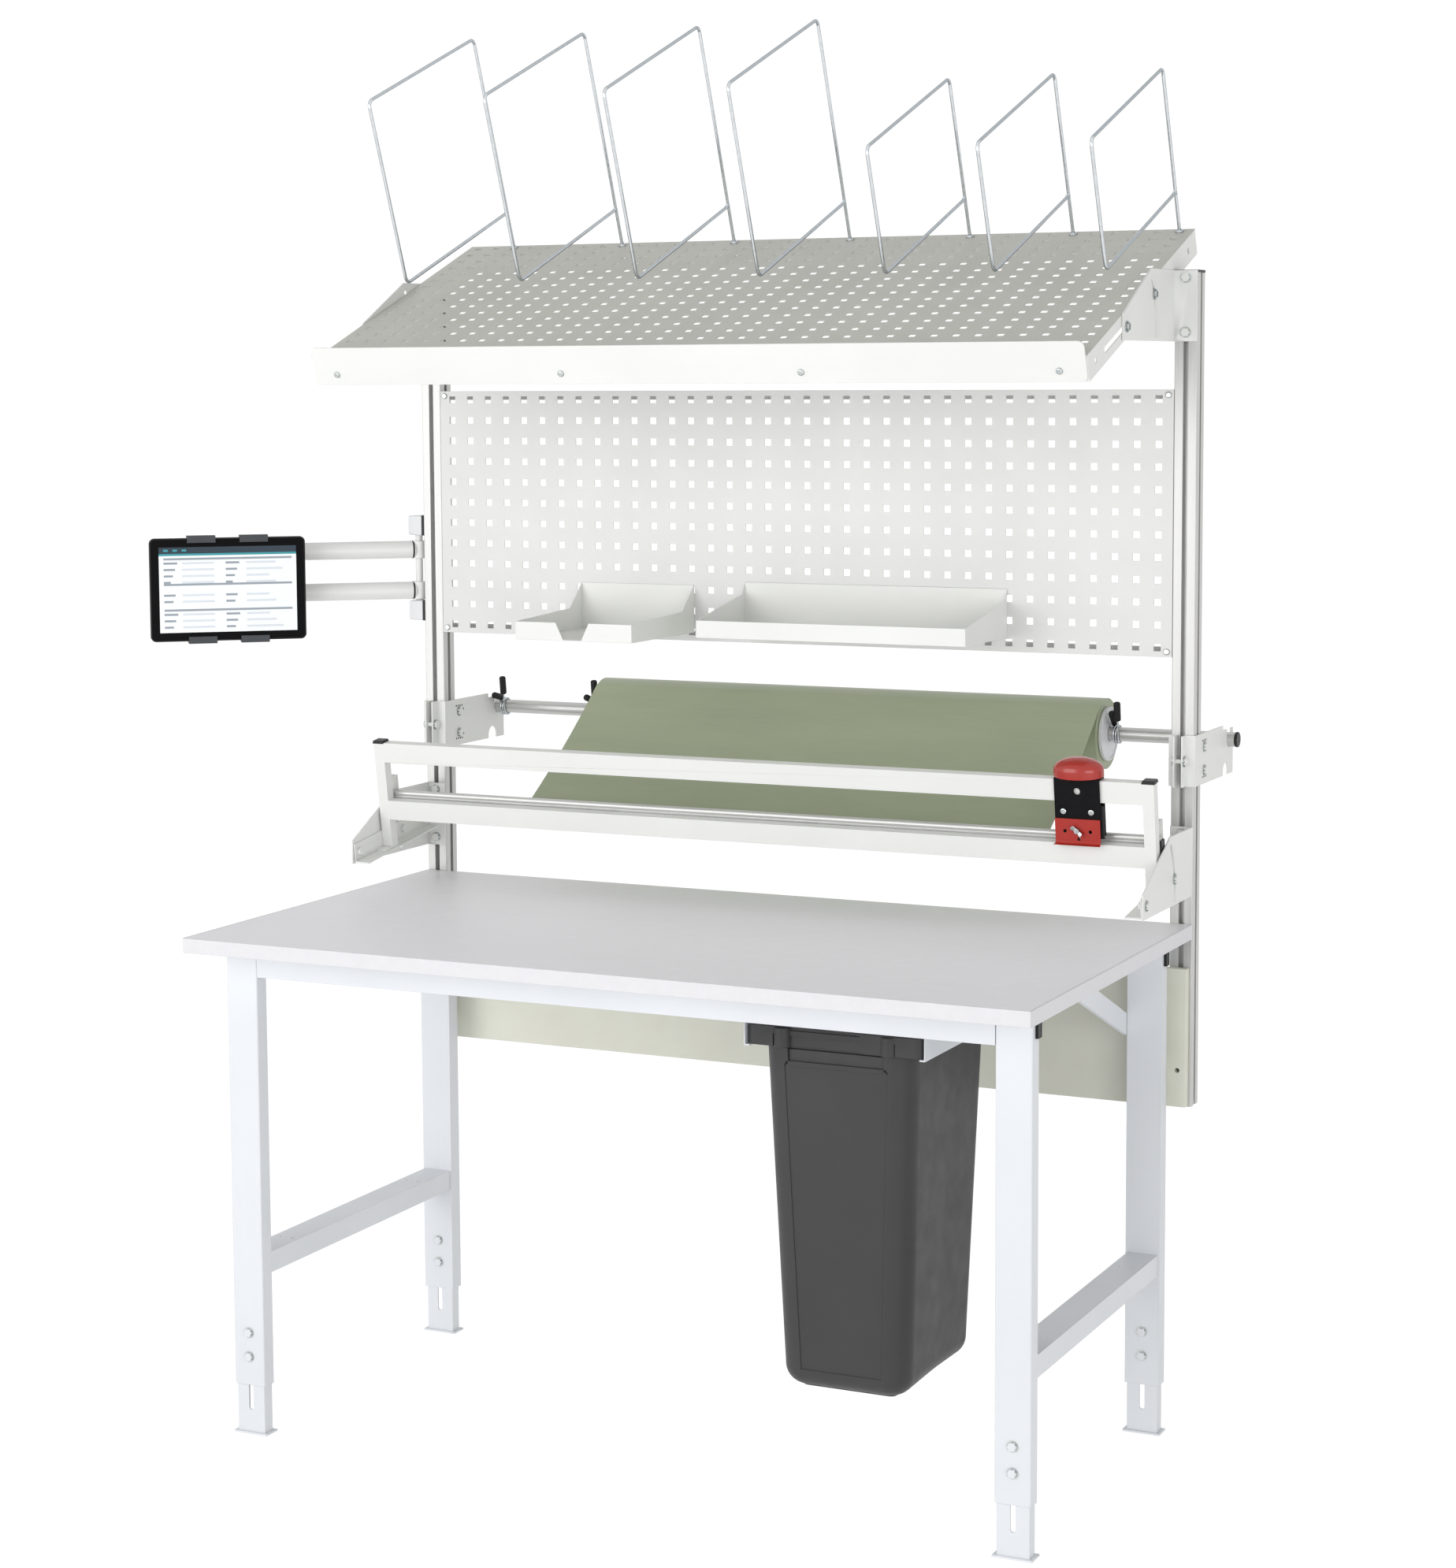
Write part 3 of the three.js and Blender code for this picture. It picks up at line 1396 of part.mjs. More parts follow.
const armGroup = new THREE.Group();
armGroup.position.set(armPostX, uprightY, 0);
armGroup.rotation.z = radians(armSwingAngle);
packingTable.add(armGroup);

const tiltPinZ = (armTubeLowZ + armTubeHighZ) / 2;
const cheekFront = -armTubeRadius - armCheekSheet;

function makeSwingArm() {
  const pieces = [];
  for (const z of [armTubeLowZ, armTubeHighZ]) {
    pieces.push(rod('x', [0, z], armTubeRadius, -armLength, -eyeRadius / 2, smallSides));
    pieces.push(rod('z', [0, 0], eyeRadius, z - armTubeRadius, z + armTubeRadius, roundSides));
  }
  const cheekX = [-armLength, armCheekWidth - armLength];
  pieces.push(block(cheekX, [cheekFront, 0], [armTubeLowZ, armTubeHighZ]));
  pieces.push(block(cheekX, [-tiltPinForward - tiltPinRadius, cheekFront],
    [tiltPinZ - 2 * tiltPinRadius, tiltPinZ + 2 * tiltPinRadius]));
  const pinCentre = armCheekWidth / 2 - armLength;
  pieces.push(rod('x', [-tiltPinForward, tiltPinZ], tiltPinRadius,
    pinCentre - tiltPinLength / 2, pinCentre + tiltPinLength / 2, shankSides));
  const bore = rod('z', [0, 0], armPostRadius + runningFit,
    armTubeLowZ - armTubeRadius - throughCut, armTubeHighZ + armTubeRadius + throughCut);
  addPart(armGroup, 'swing_arm', cut(joined(pieces), bore), anodised());
}

const tabletBack = -tabletForward + tabletThickness / 2;
const tabletLow = tabletZ - tabletHeight / 2;
const tabletHigh = tabletZ + tabletHeight / 2;
const jawCentres = [-tabletAlong - jawSpread / 2, jawSpread / 2 - tabletAlong];

function makeHolder() {
  const back = tabletBack + fit;
  const pinCentre = armCheekWidth / 2 - armLength;
  const earInner = armCheekWidth / 2 + fit;
  const plateX = [-tabletAlong - holderPlate / 2, holderPlate / 2 - tabletAlong];
  const pieces = [block(plateX, [back, back + holderSheet],
    [tabletZ - holderPlate / 2, tabletZ + holderPlate / 2])];
  for (const [, sign] of sides) {
    pieces.push(block(
      [pinCentre + sign * earInner, pinCentre + sign * (earInner + earWidth)],
      [back + holderSheet / 2, 2 * tiltPinRadius - tiltPinForward],
      [tiltPinZ - 2 * tiltPinRadius, tiltPinZ + 2 * tiltPinRadius]));
  }
  for (const x of jawCentres) {
    const across = [x - jawWidth / 2, x + jawWidth / 2];
    const [low, front] = [tabletLow - fit, tabletBack - tabletThickness - fit];
    pieces.push(block([x - jawRail / 2, x + jawRail / 2], [back, back + holderSheet],
      [low - jawSheet, tabletZ]));
    pieces.push(block(across, [front - jawSheet, back + holderSheet], [low - jawSheet, low]));
    pieces.push(block(across, [front - jawSheet, front], [low - jawSheet, low + jawLip]));
  }
  const bore = rod('x', [-tiltPinForward, tiltPinZ], tiltPinRadius + runningFit,
    pinCentre - tiltPinLength, pinCentre + tiltPinLength);
  addPart(armGroup, 'tablet_holder', cut(joined(pieces), bore), darkPlastic());
}

function makeJaw() {
  const back = tabletBack + fit;
  const [high, front] = [tabletHigh + fit, tabletBack - tabletThickness - fit];
  const bridgeZ = [tabletZ + holderPlate / 2 + fit, tabletZ + holderPlate / 2 + fit + jawRail];
  const pieces = [block([jawCentres[0] - jawRail / 2, jawCentres[1] + jawRail / 2],
    [back, back + holderSheet], bridgeZ)];
  for (const x of jawCentres) {
    const across = [x - jawWidth / 2, x + jawWidth / 2];
    pieces.push(block([x - jawRail / 2, x + jawRail / 2], [back, back + holderSheet],
      [bridgeZ[0], high + jawSheet]));
    pieces.push(block([x - jawRail / 2, x + jawRail / 2],
      [back + holderSheet + fit, back + 2 * holderSheet],
      [bridgeZ[0] - jawRailLength, bridgeZ[1]]));
    pieces.push(block([x - jawRail / 2, x + jawRail / 2], [back, back + 2 * holderSheet],
      bridgeZ));
    pieces.push(block(across, [front - jawSheet, back + holderSheet], [high, high + jawSheet]));
    pieces.push(block(across, [front - jawSheet, front], [high - jawLip, high + jawSheet]));
  }
  addPart(armGroup, 'holder_jaw', joined(pieces), darkPlastic());
}

function makeTablet() {
  const body = plate('y', roundedRectangle(tabletWidth, tabletHeight, tabletCorner),
    tabletBack - tabletThickness, tabletBack);
  addPart(armGroup, 'tablet', body.translate([-tabletAlong, 0, tabletZ]), blackPlastic());
}

// Waste bin: a tapered shell with a deep rim, hanging on two angle rails

const binY = binFront + binTopDepth / 2;

// Rounded box whose outline shrinks evenly from the top size to the bottom size
function taperedBox(topSize, bottomSize, radius, low, high) {
  const geometry = extrusion(roundedRectangle(...topSize, radius), high - low);
  const place = geometry.attributes.position;
  for (let index = 0; index < place.count; index += 1) {
    const share = place.getZ(index) / (high - low);
    const width = THREE.MathUtils.lerp(bottomSize[0], topSize[0], share);
    const depth = THREE.MathUtils.lerp(bottomSize[1], topSize[1], share);
    place.setX(index, place.getX(index) * width / topSize[0]);
    place.setY(index, place.getY(index) * depth / topSize[1]);
  }
  geometry.translate(binX, binY, low);
  return solid(geometry);
}

function makeBin() {
  const bottom = binTop - binHeight;
  const rimSize = [binTopWidth + 2 * binRimOverhang, binTopDepth + 2 * binRimOverhang];
  const inner = [binNeckWidth - 2 * binWall, binTopDepth - 2 * binWall];
  const innerLow = [binBottomWidth - 2 * binWall, binBottomDepth - 2 * binWall];
  const shell = cut(
    joined([
      taperedBox([binNeckWidth, binTopDepth], [binBottomWidth, binBottomDepth], binCorner,
        bottom, binTop),
      taperedBox(rimSize, rimSize, binCorner, binTop - binRimHeight, binTop),
    ]),
    taperedBox(inner, innerLow, binCorner - binWall, bottom + binWall, binTop + throughCut));
  addPart(packingTable, 'waste_bin', shell, darkPlastic());
}

function makeBinRails() {
  const rimHalf = binTopWidth / 2 + binRimOverhang;
  const ledge = binTop - binRimHeight - fit;
  for (const [side, sign] of sides) {
    const web = rimHalf + binSideGap;
    const at = (x) => binX + sign * x;
    const along = [binFront - binRimOverhang, binFront - binRimOverhang + binRailLength];
    const rail = joined([
      block([at(web), at(web + binRailSheet)], along, [ledge - binRailSheet, frameTop]),
      block([at(binTopWidth / 2 + fit), at(web + binRailSheet)], along,
        [ledge - binRailSheet, ledge]),
      block([at(web), at(web + binRailFlange)], along, [frameTop - binRailSheet, frameTop]),
    ]);
    addPart(packingTable, `bin_rail_${side}`, rail, paintedSteel());
  }
}

makeWorktop();
makeLegs();
makeFeet();
makeTopFrame();
makeCrossBars();
makeBraces();
makeModestyBoard();
makeUprights();
makeToolPanel();
makeTrays();
makeSideBrackets();
makeShelf();
makeShelfLip();
makeDividers();
makeRollBrackets();
makeRollBar();
makeFilmRoll();
makeCollars();
makeCutterArms();
makeCutterFrame();
makePressBar();
makeCarriage();
makeBladePlate();
makeGrip();
makeFilmWeb();
makeArmBracket();
makeSwingArm();
makeHolder();
makeJaw();
makeTablet();
makeBin();
makeBinRails();

// The origin is the centre of the whole part's footprint, on the floor
const bounds = new THREE.Box3().setFromObject(packingTable);
packingTable.position.set(
  -(bounds.min.x + bounds.max.x) / 2,
  -(bounds.min.y + bounds.max.y) / 2,
  -bounds.min.z);

export default packingTable;
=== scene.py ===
"""Packing table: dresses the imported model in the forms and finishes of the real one."""

import json
import math

import bmesh
import bpy
from bpy.props import FloatProperty, FloatVectorProperty, IntProperty, PointerProperty
from bpy.types import Operator, Panel, PropertyGroup
from mathutils import Euler, Matrix, Vector

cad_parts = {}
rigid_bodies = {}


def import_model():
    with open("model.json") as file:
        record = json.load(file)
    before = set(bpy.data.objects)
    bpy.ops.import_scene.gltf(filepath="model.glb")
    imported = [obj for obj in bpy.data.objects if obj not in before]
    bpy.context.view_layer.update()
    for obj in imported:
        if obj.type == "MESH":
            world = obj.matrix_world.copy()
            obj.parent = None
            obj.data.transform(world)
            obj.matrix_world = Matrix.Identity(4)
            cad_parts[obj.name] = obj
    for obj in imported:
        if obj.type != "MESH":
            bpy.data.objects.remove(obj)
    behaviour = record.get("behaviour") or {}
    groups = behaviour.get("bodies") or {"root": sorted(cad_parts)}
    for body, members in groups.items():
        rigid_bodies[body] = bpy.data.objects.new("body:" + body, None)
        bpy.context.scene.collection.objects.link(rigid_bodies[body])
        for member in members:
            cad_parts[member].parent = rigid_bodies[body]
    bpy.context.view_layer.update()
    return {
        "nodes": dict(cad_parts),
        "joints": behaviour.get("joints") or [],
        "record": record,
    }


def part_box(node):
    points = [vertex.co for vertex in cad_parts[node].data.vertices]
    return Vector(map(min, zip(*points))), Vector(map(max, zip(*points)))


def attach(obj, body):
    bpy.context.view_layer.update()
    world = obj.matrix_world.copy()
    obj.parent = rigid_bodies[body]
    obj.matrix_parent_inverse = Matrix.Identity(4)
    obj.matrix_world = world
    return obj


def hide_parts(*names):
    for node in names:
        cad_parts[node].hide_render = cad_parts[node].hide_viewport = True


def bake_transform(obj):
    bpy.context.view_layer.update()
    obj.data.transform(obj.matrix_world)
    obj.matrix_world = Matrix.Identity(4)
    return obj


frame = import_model()

bl_info = {
    "name": "Packing table",
    "version": (1, 0, 0),
    "blender": (4, 5, 0),
    "location": "View3D > Sidebar > Packing table",
    "description": "Models the looks of a packing table on its packed solids",
    "category": "Object",
}

# Places. Every piece is drawn in millimetres in one of four sets of axes: the table's, the
# shelf's and the cutter's, which lean back about their pivots, and the swung arm's.

MM = 0.001
SHELF_LEAN = 21.0
CUTTER_LEAN = 8.2
ARM_SWING = 40.0

edge_low, edge_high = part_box("worktop_edge")
TABLE = Vector(((edge_low.x + edge_high.x) / 2, (edge_low.y + edge_high.y) / 2, 0.0))
PIVOTS = {joint["name"]: Vector(joint["pos_m"]) for joint in frame["joints"] if "pos_m" in joint}


def axes_at(place, degrees=0.0, axis="X"):
    return Matrix.Translation(place) @ Matrix.Rotation(math.radians(degrees), 4, axis)


ON_TABLE = axes_at(TABLE)
ON_SHELF = axes_at((TABLE.x, *PIVOTS["shelf_tilt"][1:]), SHELF_LEAN)
ON_CUTTER = axes_at((TABLE.x, *PIVOTS["cutter_tilt"][1:]), CUTTER_LEAN)
ON_ARM = axes_at((*PIVOTS["arm_swing"][:2], 0.0), ARM_SWING, "Z")

# Places across and along the table that several pieces share, in millimetres.

LEG_ROWS = (("front", -298), ("rear", 335))
LEG_OUTER = 722
UPRIGHT_X = 730
UPRIGHT_HALF = 20.3
PANEL_FRONT = 400.3
INDEX_BOLTS = (1168.5, 1128.5)
INDEX_BOLT_Y = 449
CLAMP_BOLT = (388.5, 1148.5)
CARRIAGE_X = 612
ARM_TUBES = (1399, 1476)


def across(sign, near, far):
    """Two places on one side of the middle, the lower one first."""
    return sorted((sign * near, sign * far))


def middle_of(node):
    low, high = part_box(node)
    return (low + high) / 2


def body_of(node):
    bodies = frame["record"]["behaviour"]["bodies"]
    return next(name for name, nodes in bodies.items() if node in nodes)


# Modelling


def deselect():
    bpy.ops.object.select_all(action="DESELECT")


def only(*objects):
    deselect()
    for item in objects:
        item.select_set(True)
    bpy.context.view_layer.objects.active = objects[0]


def settled(name):
    """Names the object just added and puts its place, turn and scale into its mesh."""
    item = bpy.context.active_object
    item.name = item.data.name = name
    only(item)
    bpy.ops.object.transform_apply(location=True, rotation=True, scale=True)
    return item


def moved(item, axes):
    """Moves a piece from its own axes to the table's, with the place in its mesh."""
    only(item)
    item.matrix_world = axes @ item.matrix_world
    bpy.ops.object.transform_apply(location=True, rotation=True, scale=True)
    return item


def block(name, low, high):
    low, high = Vector(low), Vector(high)
    deselect()
    bpy.ops.mesh.primitive_cube_add(size=1, location=(low + high) / 2 * MM)
    bpy.context.active_object.scale = (high - low) * MM
    return settled(name)


def rod(name, axis, centre, radius, length, sides=48, tip=None):
    turn = {"x": (0, math.pi / 2, 0), "y": (-math.pi / 2, 0, 0), "z": (0, 0, 0)}[axis]
    deselect()
    bpy.ops.mesh.primitive_cone_add(
        vertices=sides, radius1=radius * MM, radius2=(radius if tip is None else tip) * MM,
        depth=length * MM, location=Vector(centre) * MM, rotation=turn)
    return settled(name)


def opened(item, kind, action="SELECT"):
    """Enters edit mode with the whole piece selected, or with nothing selected."""
    only(item)
    bpy.ops.object.mode_set(mode="EDIT")
    bpy.ops.mesh.select_mode(type=kind)
    bpy.ops.mesh.select_all(action=action)


def pick(item, test, kind="FACE"):
    """Enters edit mode with the faces, edges or points that pass a test of place and turn."""
    opened(item, kind, "DESELECT")
    cage = bmesh.from_edit_mesh(item.data)
    if kind == "FACE":
        chosen = [f for f in cage.faces if test(f.calc_center_median() / MM, f.normal)]
    elif kind == "EDGE":
        chosen = [e for e in cage.edges if test(
            (e.verts[0].co + e.verts[1].co) / 2 / MM,
            (e.verts[1].co - e.verts[0].co) / MM)]
    else:
        chosen = [v for v in cage.verts if test(v.co / MM, v.normal)]
    for part in chosen:
        part.select_set(True)
    bmesh.update_edit_mesh(item.data)
    return len(chosen)


# Steps on what is selected in edit mode, in millimetres, and the way out of it.


def leave():
    bpy.ops.object.mode_set(mode="OBJECT")


def extrude(vector):
    bpy.ops.mesh.extrude_region_move(
        TRANSFORM_OT_translate={"value": tuple(Vector(vector) * MM)})


def slide(vector):
    bpy.ops.transform.translate(value=tuple(part * MM for part in vector))


def resize(factors):
    bpy.ops.transform.resize(value=factors)


def inset(width):
    bpy.ops.mesh.inset(thickness=width * MM)


def round_off(width, segments):
    bpy.ops.mesh.bevel(offset=width * MM, segments=segments)


def outward():
    """Closes seams and turns every face outwards, in edit mode."""
    bpy.ops.mesh.select_all(action="SELECT")
    bpy.ops.mesh.remove_doubles(threshold=0.00001)
    bpy.ops.mesh.normals_make_consistent(inside=False)


def applied(item, kind, **settings):
    only(item)
    modifier = item.modifiers.new(kind.title(), kind)
    for key, value in settings.items():
        setattr(modifier, key, value)
    bpy.ops.object.modifier_apply(modifier=modifier.name)
    return item


def bevelled(item, width, segments=3, angle=35.0):
    return applied(item, "BEVEL", width=width * MM, segments=segments, limit_method="ANGLE",
                   angle_limit=math.radians(angle), use_clamp_overlap=True)


def smooth(item, angle=35.0):
    only(item)
    bpy.ops.object.shade_smooth_by_angle(angle=math.radians(angle))
    return item


def carved(item, *tools):
    """Cuts the tools out of a piece and deletes them."""
    for tool in tools:
        applied(item, "BOOLEAN", operation="DIFFERENCE", object=tool, solver="EXACT",
                material_mode="TRANSFER" if tool.data.materials else "INDEX")
        bpy.data.objects.remove(tool)
    return item


def joined(name, items):
    only(*items)
    bpy.ops.object.join()
    item = bpy.context.active_object
    item.name = item.data.name = name
    return item


def copied(item, name, axes=None):
    only(item)
    bpy.ops.object.duplicate()
    twin = bpy.context.active_object
    twin.name = twin.data.name = name
    return moved(twin, axes) if axes is not None else twin


def spun_wire(name, radius, start, runs, sides=14):
    """A round wire from a start disc: straight runs, and turns (centre, axis, degrees)."""
    deselect()
    bpy.ops.mesh.primitive_circle_add(
        vertices=sides, radius=radius * MM, fill_type="NGON", location=Vector(start) * MM)
    item = settled(name)
    opened(item, "FACE")
    for run in runs:
        if len(run) == 3 and not isinstance(run[0], tuple):
            extrude(run)
        else:
            centre, axis, degrees = run
            bpy.ops.mesh.spin(steps=6, angle=-math.radians(degrees),
                              center=tuple(Vector(centre) * MM), axis=axis)
    outward()
    leave()
    return item


def of_solid(node, name):
    """A copy of a CAD solid with its seams closed and its flat faces whole."""
    only(frame["nodes"][node])
    bpy.ops.object.duplicate()
    item = bpy.context.active_object
    bpy.ops.object.parent_clear(type="CLEAR_KEEP_TRANSFORM")
    item.name = item.data.name = name
    opened(item, "VERT")
    bpy.ops.mesh.remove_doubles(threshold=0.00002)
    bpy.ops.mesh.dissolve_limited(angle_limit=math.radians(0.8))
    leave()
    return item


def eased(item, width, least=9.0, segments=2):
    """Rounds the long outer edges of a piece, as a fold or a rolled corner is."""
    opened(item, "EDGE", "DESELECT")
    cage = bmesh.from_edit_mesh(item.data)
    for edge in cage.edges:
        length_of = edge.calc_length()
        if len(edge.link_faces) == 2 and length_of > least * MM:
            narrowest = min(face.calc_area() for face in edge.link_faces) / length_of
            if (edge.calc_face_angle_signed() > math.radians(30)
                    and narrowest > 2.6 * width * MM):
                edge.select_set(True)
    bmesh.update_edit_mesh(item.data)
    bpy.ops.mesh.bevel(offset=width * MM, offset_type="OFFSET", segments=segments,
                       clamp_overlap=True)
    leave()
    return smooth(item, 40)


def only_side(item, place, normal):
    """Keeps the part of a closed piece that lies behind a plane."""
    opened(item, "VERT")
    bpy.ops.mesh.bisect(plane_co=tuple(place), plane_no=tuple(normal), use_fill=True,
                        clear_outer=True)
    leave()
    return item


# Finishes


def linear(red, green, blue):
    def one(value):
        value /= 255
        return value / 12.92 if value <= 0.04045 else ((value + 0.055) / 1.055) ** 2.4
    return (one(red), one(green), one(blue), 1.0)


class Tree:
    """A material's nodes, with short ways to add the ones that these finishes use."""

    def __init__(self, name):
        self.material = bpy.data.materials.new(name)
        self.material.use_nodes = True
        self.nodes = self.material.node_tree.nodes
        self.shader = self.nodes["Principled BSDF"]
        self.place = self.add("ShaderNodeTexCoord").outputs["Object"]

    def add(self, kind, inputs=(), **settings):
        made = self.nodes.new(kind)
        for key, value in settings.items():
            setattr(made, key, value)
        for key, value in dict(inputs).items():
            self.put(made.inputs[key], value)
        return made

    def put(self, socket, value):
        if isinstance(value, bpy.types.NodeSocket):
            self.material.node_tree.links.new(value, socket)
        else:
            socket.default_value = value

    def set(self, **inputs):
        for key, value in inputs.items():
            self.put(self.shader.inputs[key.replace("_", " ")], value)

    def noise(self, scale, detail=3.0, rough=0.5, stretch=(1, 1, 1)):
        place = self.add("ShaderNodeMapping", {"Vector": self.place, "Scale": stretch})
        return self.add("ShaderNodeTexNoise", {
            "Vector": place.outputs[0], "Scale": scale, "Detail": detail,
            "Roughness": rough}).outputs["Fac"]

    def between(self, value, low, high, start=0.3, end=0.7):
        return self.add("ShaderNodeMapRange", {
            "Value": value, "From Min": start, "From Max": end, "To Min": low,
            "To Max": high}).outputs["Result"]

    def ramp(self, value, *stops):
        made = self.add("ShaderNodeValToRGB", {"Fac": value})
        elements = made.color_ramp.elements
        while len(elements) < len(stops):
            elements.new(0.5)
        for element, (where, colour) in zip(elements, stops):
            element.position = where
            element.color = colour
        return made.outputs["Color"]

    def tones(self, value, colour, low, high, start=0.3):
        """Two shades of a colour, as far from the middle of the value on either side."""
        return self.ramp(value, (start, shade(colour, low)), (1 - start, shade(colour, high)))

    def mixed(self, share, first, second, kind="MIX"):
        made = self.nodes.new("ShaderNodeMix")
        made.data_type = "RGBA"
        made.blend_type = kind
        self.put(made.inputs[0], share)
        self.put(made.inputs[6], first)
        self.put(made.inputs[7], second)
        return made.outputs[2]

    def bump(self, height, strength, distance, edge=None):
        inputs = {"Height": height, "Strength": strength, "Distance": distance}
        if edge:
            inputs["Normal"] = self.add("ShaderNodeBevel", {"Radius": edge}, samples=4).outputs[0]
        self.set(Normal=self.add("ShaderNodeBump", inputs).outputs["Normal"])


def shade(colour, factor):
    return (*(min(1.0, channel * factor) for channel in colour[:3]), 1.0)


def coat(name, colour, roughness, edge=0.0008, grain=700.0, depth=0.00012):
    """Powder coat or moulded skin: fine orange peel, faint clouds and slightly uneven gloss."""
    tree = Tree(name)
    clouds = tree.noise(3.0, 4.0)
    tree.set(Base_Color=tree.tones(clouds, colour, 0.965, 1.03),
             Roughness=tree.between(tree.noise(14.0, 5.0), roughness - 0.05, roughness + 0.06))
    tree.bump(tree.noise(grain, 2.0), 0.25, depth, edge)
    return tree.material


def matt(name, colour):
    """Dark glass under a film that scatters the light."""
    tree = Tree(name)
    haze = tree.noise(60.0, 4.0)
    tree.set(Base_Color=tree.tones(haze, colour, 0.85, 1.15),
             Roughness=tree.between(haze, 0.5, 0.6), **{"Specular IOR Level": 0.06})
    tree.bump(tree.noise(900.0, 2.0), 0.15, 0.00003, 0.0005)
    return tree.material


def laminate(name, colour):
    """Pale laminate with a faint cloudy mottle and a fine pressed texture."""
    tree = Tree(name)
    clouds = tree.noise(34.0, 8.0, 0.62)
    fine = tree.noise(420.0, 3.0, 0.6)
    mottle = tree.tones(clouds, colour, 0.955, 1.03, 0.32)
    specks = tree.tones(fine, colour, 0.97, 1.03, 0.4)
    tree.set(Base_Color=tree.mixed(0.35, mottle, specks),
             Roughness=tree.between(clouds, 0.38, 0.5))
    tree.bump(fine, 0.2, 0.00008, 0.0006)
    return tree.material


def board(name, colour):
    """Uncoated-looking grey-green board with a soft blotched print."""
    tree = Tree(name)
    blotch = tree.noise(9.0, 7.0, 0.6)
    streak = tree.noise(26.0, 5.0, 0.55, (1.0, 1.0, 0.45))
    tint = tree.ramp(blotch, (0.3, shade(colour, 0.94)), (0.52, colour),
                     (0.72, shade(colour, 1.04)))
    warm = tree.ramp(streak, (0.35, shade(colour, 0.95)), (0.65, linear(220, 219, 205)))
    tree.set(Base_Color=tree.mixed(0.45, tint, warm), Roughness=tree.between(streak, 0.5, 0.64))
    tree.bump(tree.noise(300.0, 4.0), 0.2, 0.0001, 0.0008)
    return tree.material


def drawn_metal(name, colour, roughness, stretch, lines=260.0):
    """Anodised or drawn metal with fine lines along its length."""
    tree = Tree(name)
    fine = tree.noise(lines, 4.0, 0.6, stretch)
    broad = tree.noise(30.0, 3.0, 0.5, stretch)
    tree.set(Metallic=0.45,
             Base_Color=tree.mixed(0.5, tree.tones(fine, colour, 0.86, 1.08, 0.35),
                                   tree.tones(broad, colour, 0.94, 1.03, 0.35)),
             Roughness=tree.between(fine, roughness - 0.06, roughness + 0.1))
    tree.bump(fine, 0.12, 0.00006, 0.0004)
    return tree.material


def bright_metal(name, colour, roughness, tint=None):
    """Chrome or zinc: bright, with painted shade that darkens the sides of a round shiny wire as
    they turn away from the view.
    """
    tree = Tree(name)
    facing = tree.add("ShaderNodeLayerWeight", {"Blend": 0.42}).outputs["Facing"]
    cloud = tree.noise(120.0, 3.0)
    base = tree.tones(cloud, colour, 0.93, 1.05, 0.35)
    if tint:
        base = tree.mixed(tree.between(tree.noise(60.0, 2.0), 0.0, 0.55), base, tint)
    # Painted shade: the base colour is multiplied darker where the surface turns away from the
    # view.
    dark = tree.ramp(facing, (0.15, (1, 1, 1, 1)), (0.55, (0.5, 0.53, 0.55, 1)),
                     (0.85, (0.2, 0.22, 0.23, 1)))
    tree.set(Metallic=1.0, Base_Color=tree.mixed(1.0, base, dark, "MULTIPLY"),
             Roughness=tree.between(cloud, roughness, roughness + 0.08))
    tree.bump(tree.noise(900.0, 2.0), 0.06, 0.00004)
    return tree.material


def film(name, colour):
    """Slightly see-through film: soft sheen, long faint creases across the web."""
    tree = Tree(name)
    crease = tree.noise(9.0, 5.0, 0.55, (0.5, 2.4, 1.0))
    fine = tree.noise(60.0, 4.0, 0.5, (0.3, 3.0, 3.0))
    tree.set(Base_Color=tree.mixed(0.5, tree.tones(crease, colour, 0.9, 1.08),
                                   tree.tones(fine, colour, 0.96, 1.04, 0.35)),
             Roughness=tree.between(fine, 0.34, 0.46),
             **{"Sheen Weight": 0.15, "Subsurface Weight": 0.0})
    tree.bump(crease, 0.3, 0.0012)
    return tree.material


def windings(name, colour):
    """The roll's ends: the edges of the wound film as fine uneven rings round the bar."""
    tree = Tree(name)
    centre = middle_of("film_roll")
    place = tree.add("ShaderNodeMapping", {"Vector": tree.place,
                                           "Location": tuple(-centre)})
    rings = tree.add("ShaderNodeTexWave", {
        "Vector": place.outputs[0], "Scale": 150.0, "Distortion": 1.2, "Detail": 3.0,
        "Detail Scale": 2.0}, wave_type="RINGS", rings_direction="X").outputs["Fac"]
    tree.set(Base_Color=tree.tones(rings, colour, 0.85, 1.2, 0.2), Roughness=0.42)
    tree.bump(rings, 0.35, 0.0005)
    return tree.material


def cloth_grain(name, colour, roughness, scale):
    """Moulded plastic with a fine eroded skin, as on bins and handles."""
    tree = Tree(name)
    pits = tree.add("ShaderNodeTexVoronoi", {"Vector": tree.place, "Scale": scale},
                    feature="SMOOTH_F1").outputs["Distance"]
    clouds = tree.noise(5.0, 4.0)
    tree.set(Base_Color=tree.tones(clouds, colour, 0.93, 1.07),
             Roughness=tree.between(tree.noise(30.0, 4.0), roughness - 0.04, roughness + 0.06))
    tree.set(Specular_IOR_Level=0.28)
    tree.bump(pits, 0.22, 0.00016, 0.0008)
    return tree.material


def gloss(name, colour, roughness):
    """Glossy moulded plastic or wet paint, with slow waves in its surface."""
    tree = Tree(name)
    waves = tree.noise(24.0, 3.0)
    tree.set(Base_Color=tree.tones(waves, colour, 0.92, 1.08),
             Roughness=tree.between(tree.noise(70.0, 4.0), roughness - 0.03, roughness + 0.07),
             **{"Coat Weight": 0.35, "Coat Roughness": 0.12})
    tree.bump(waves, 0.12, 0.0003, 0.0008)
    return tree.material


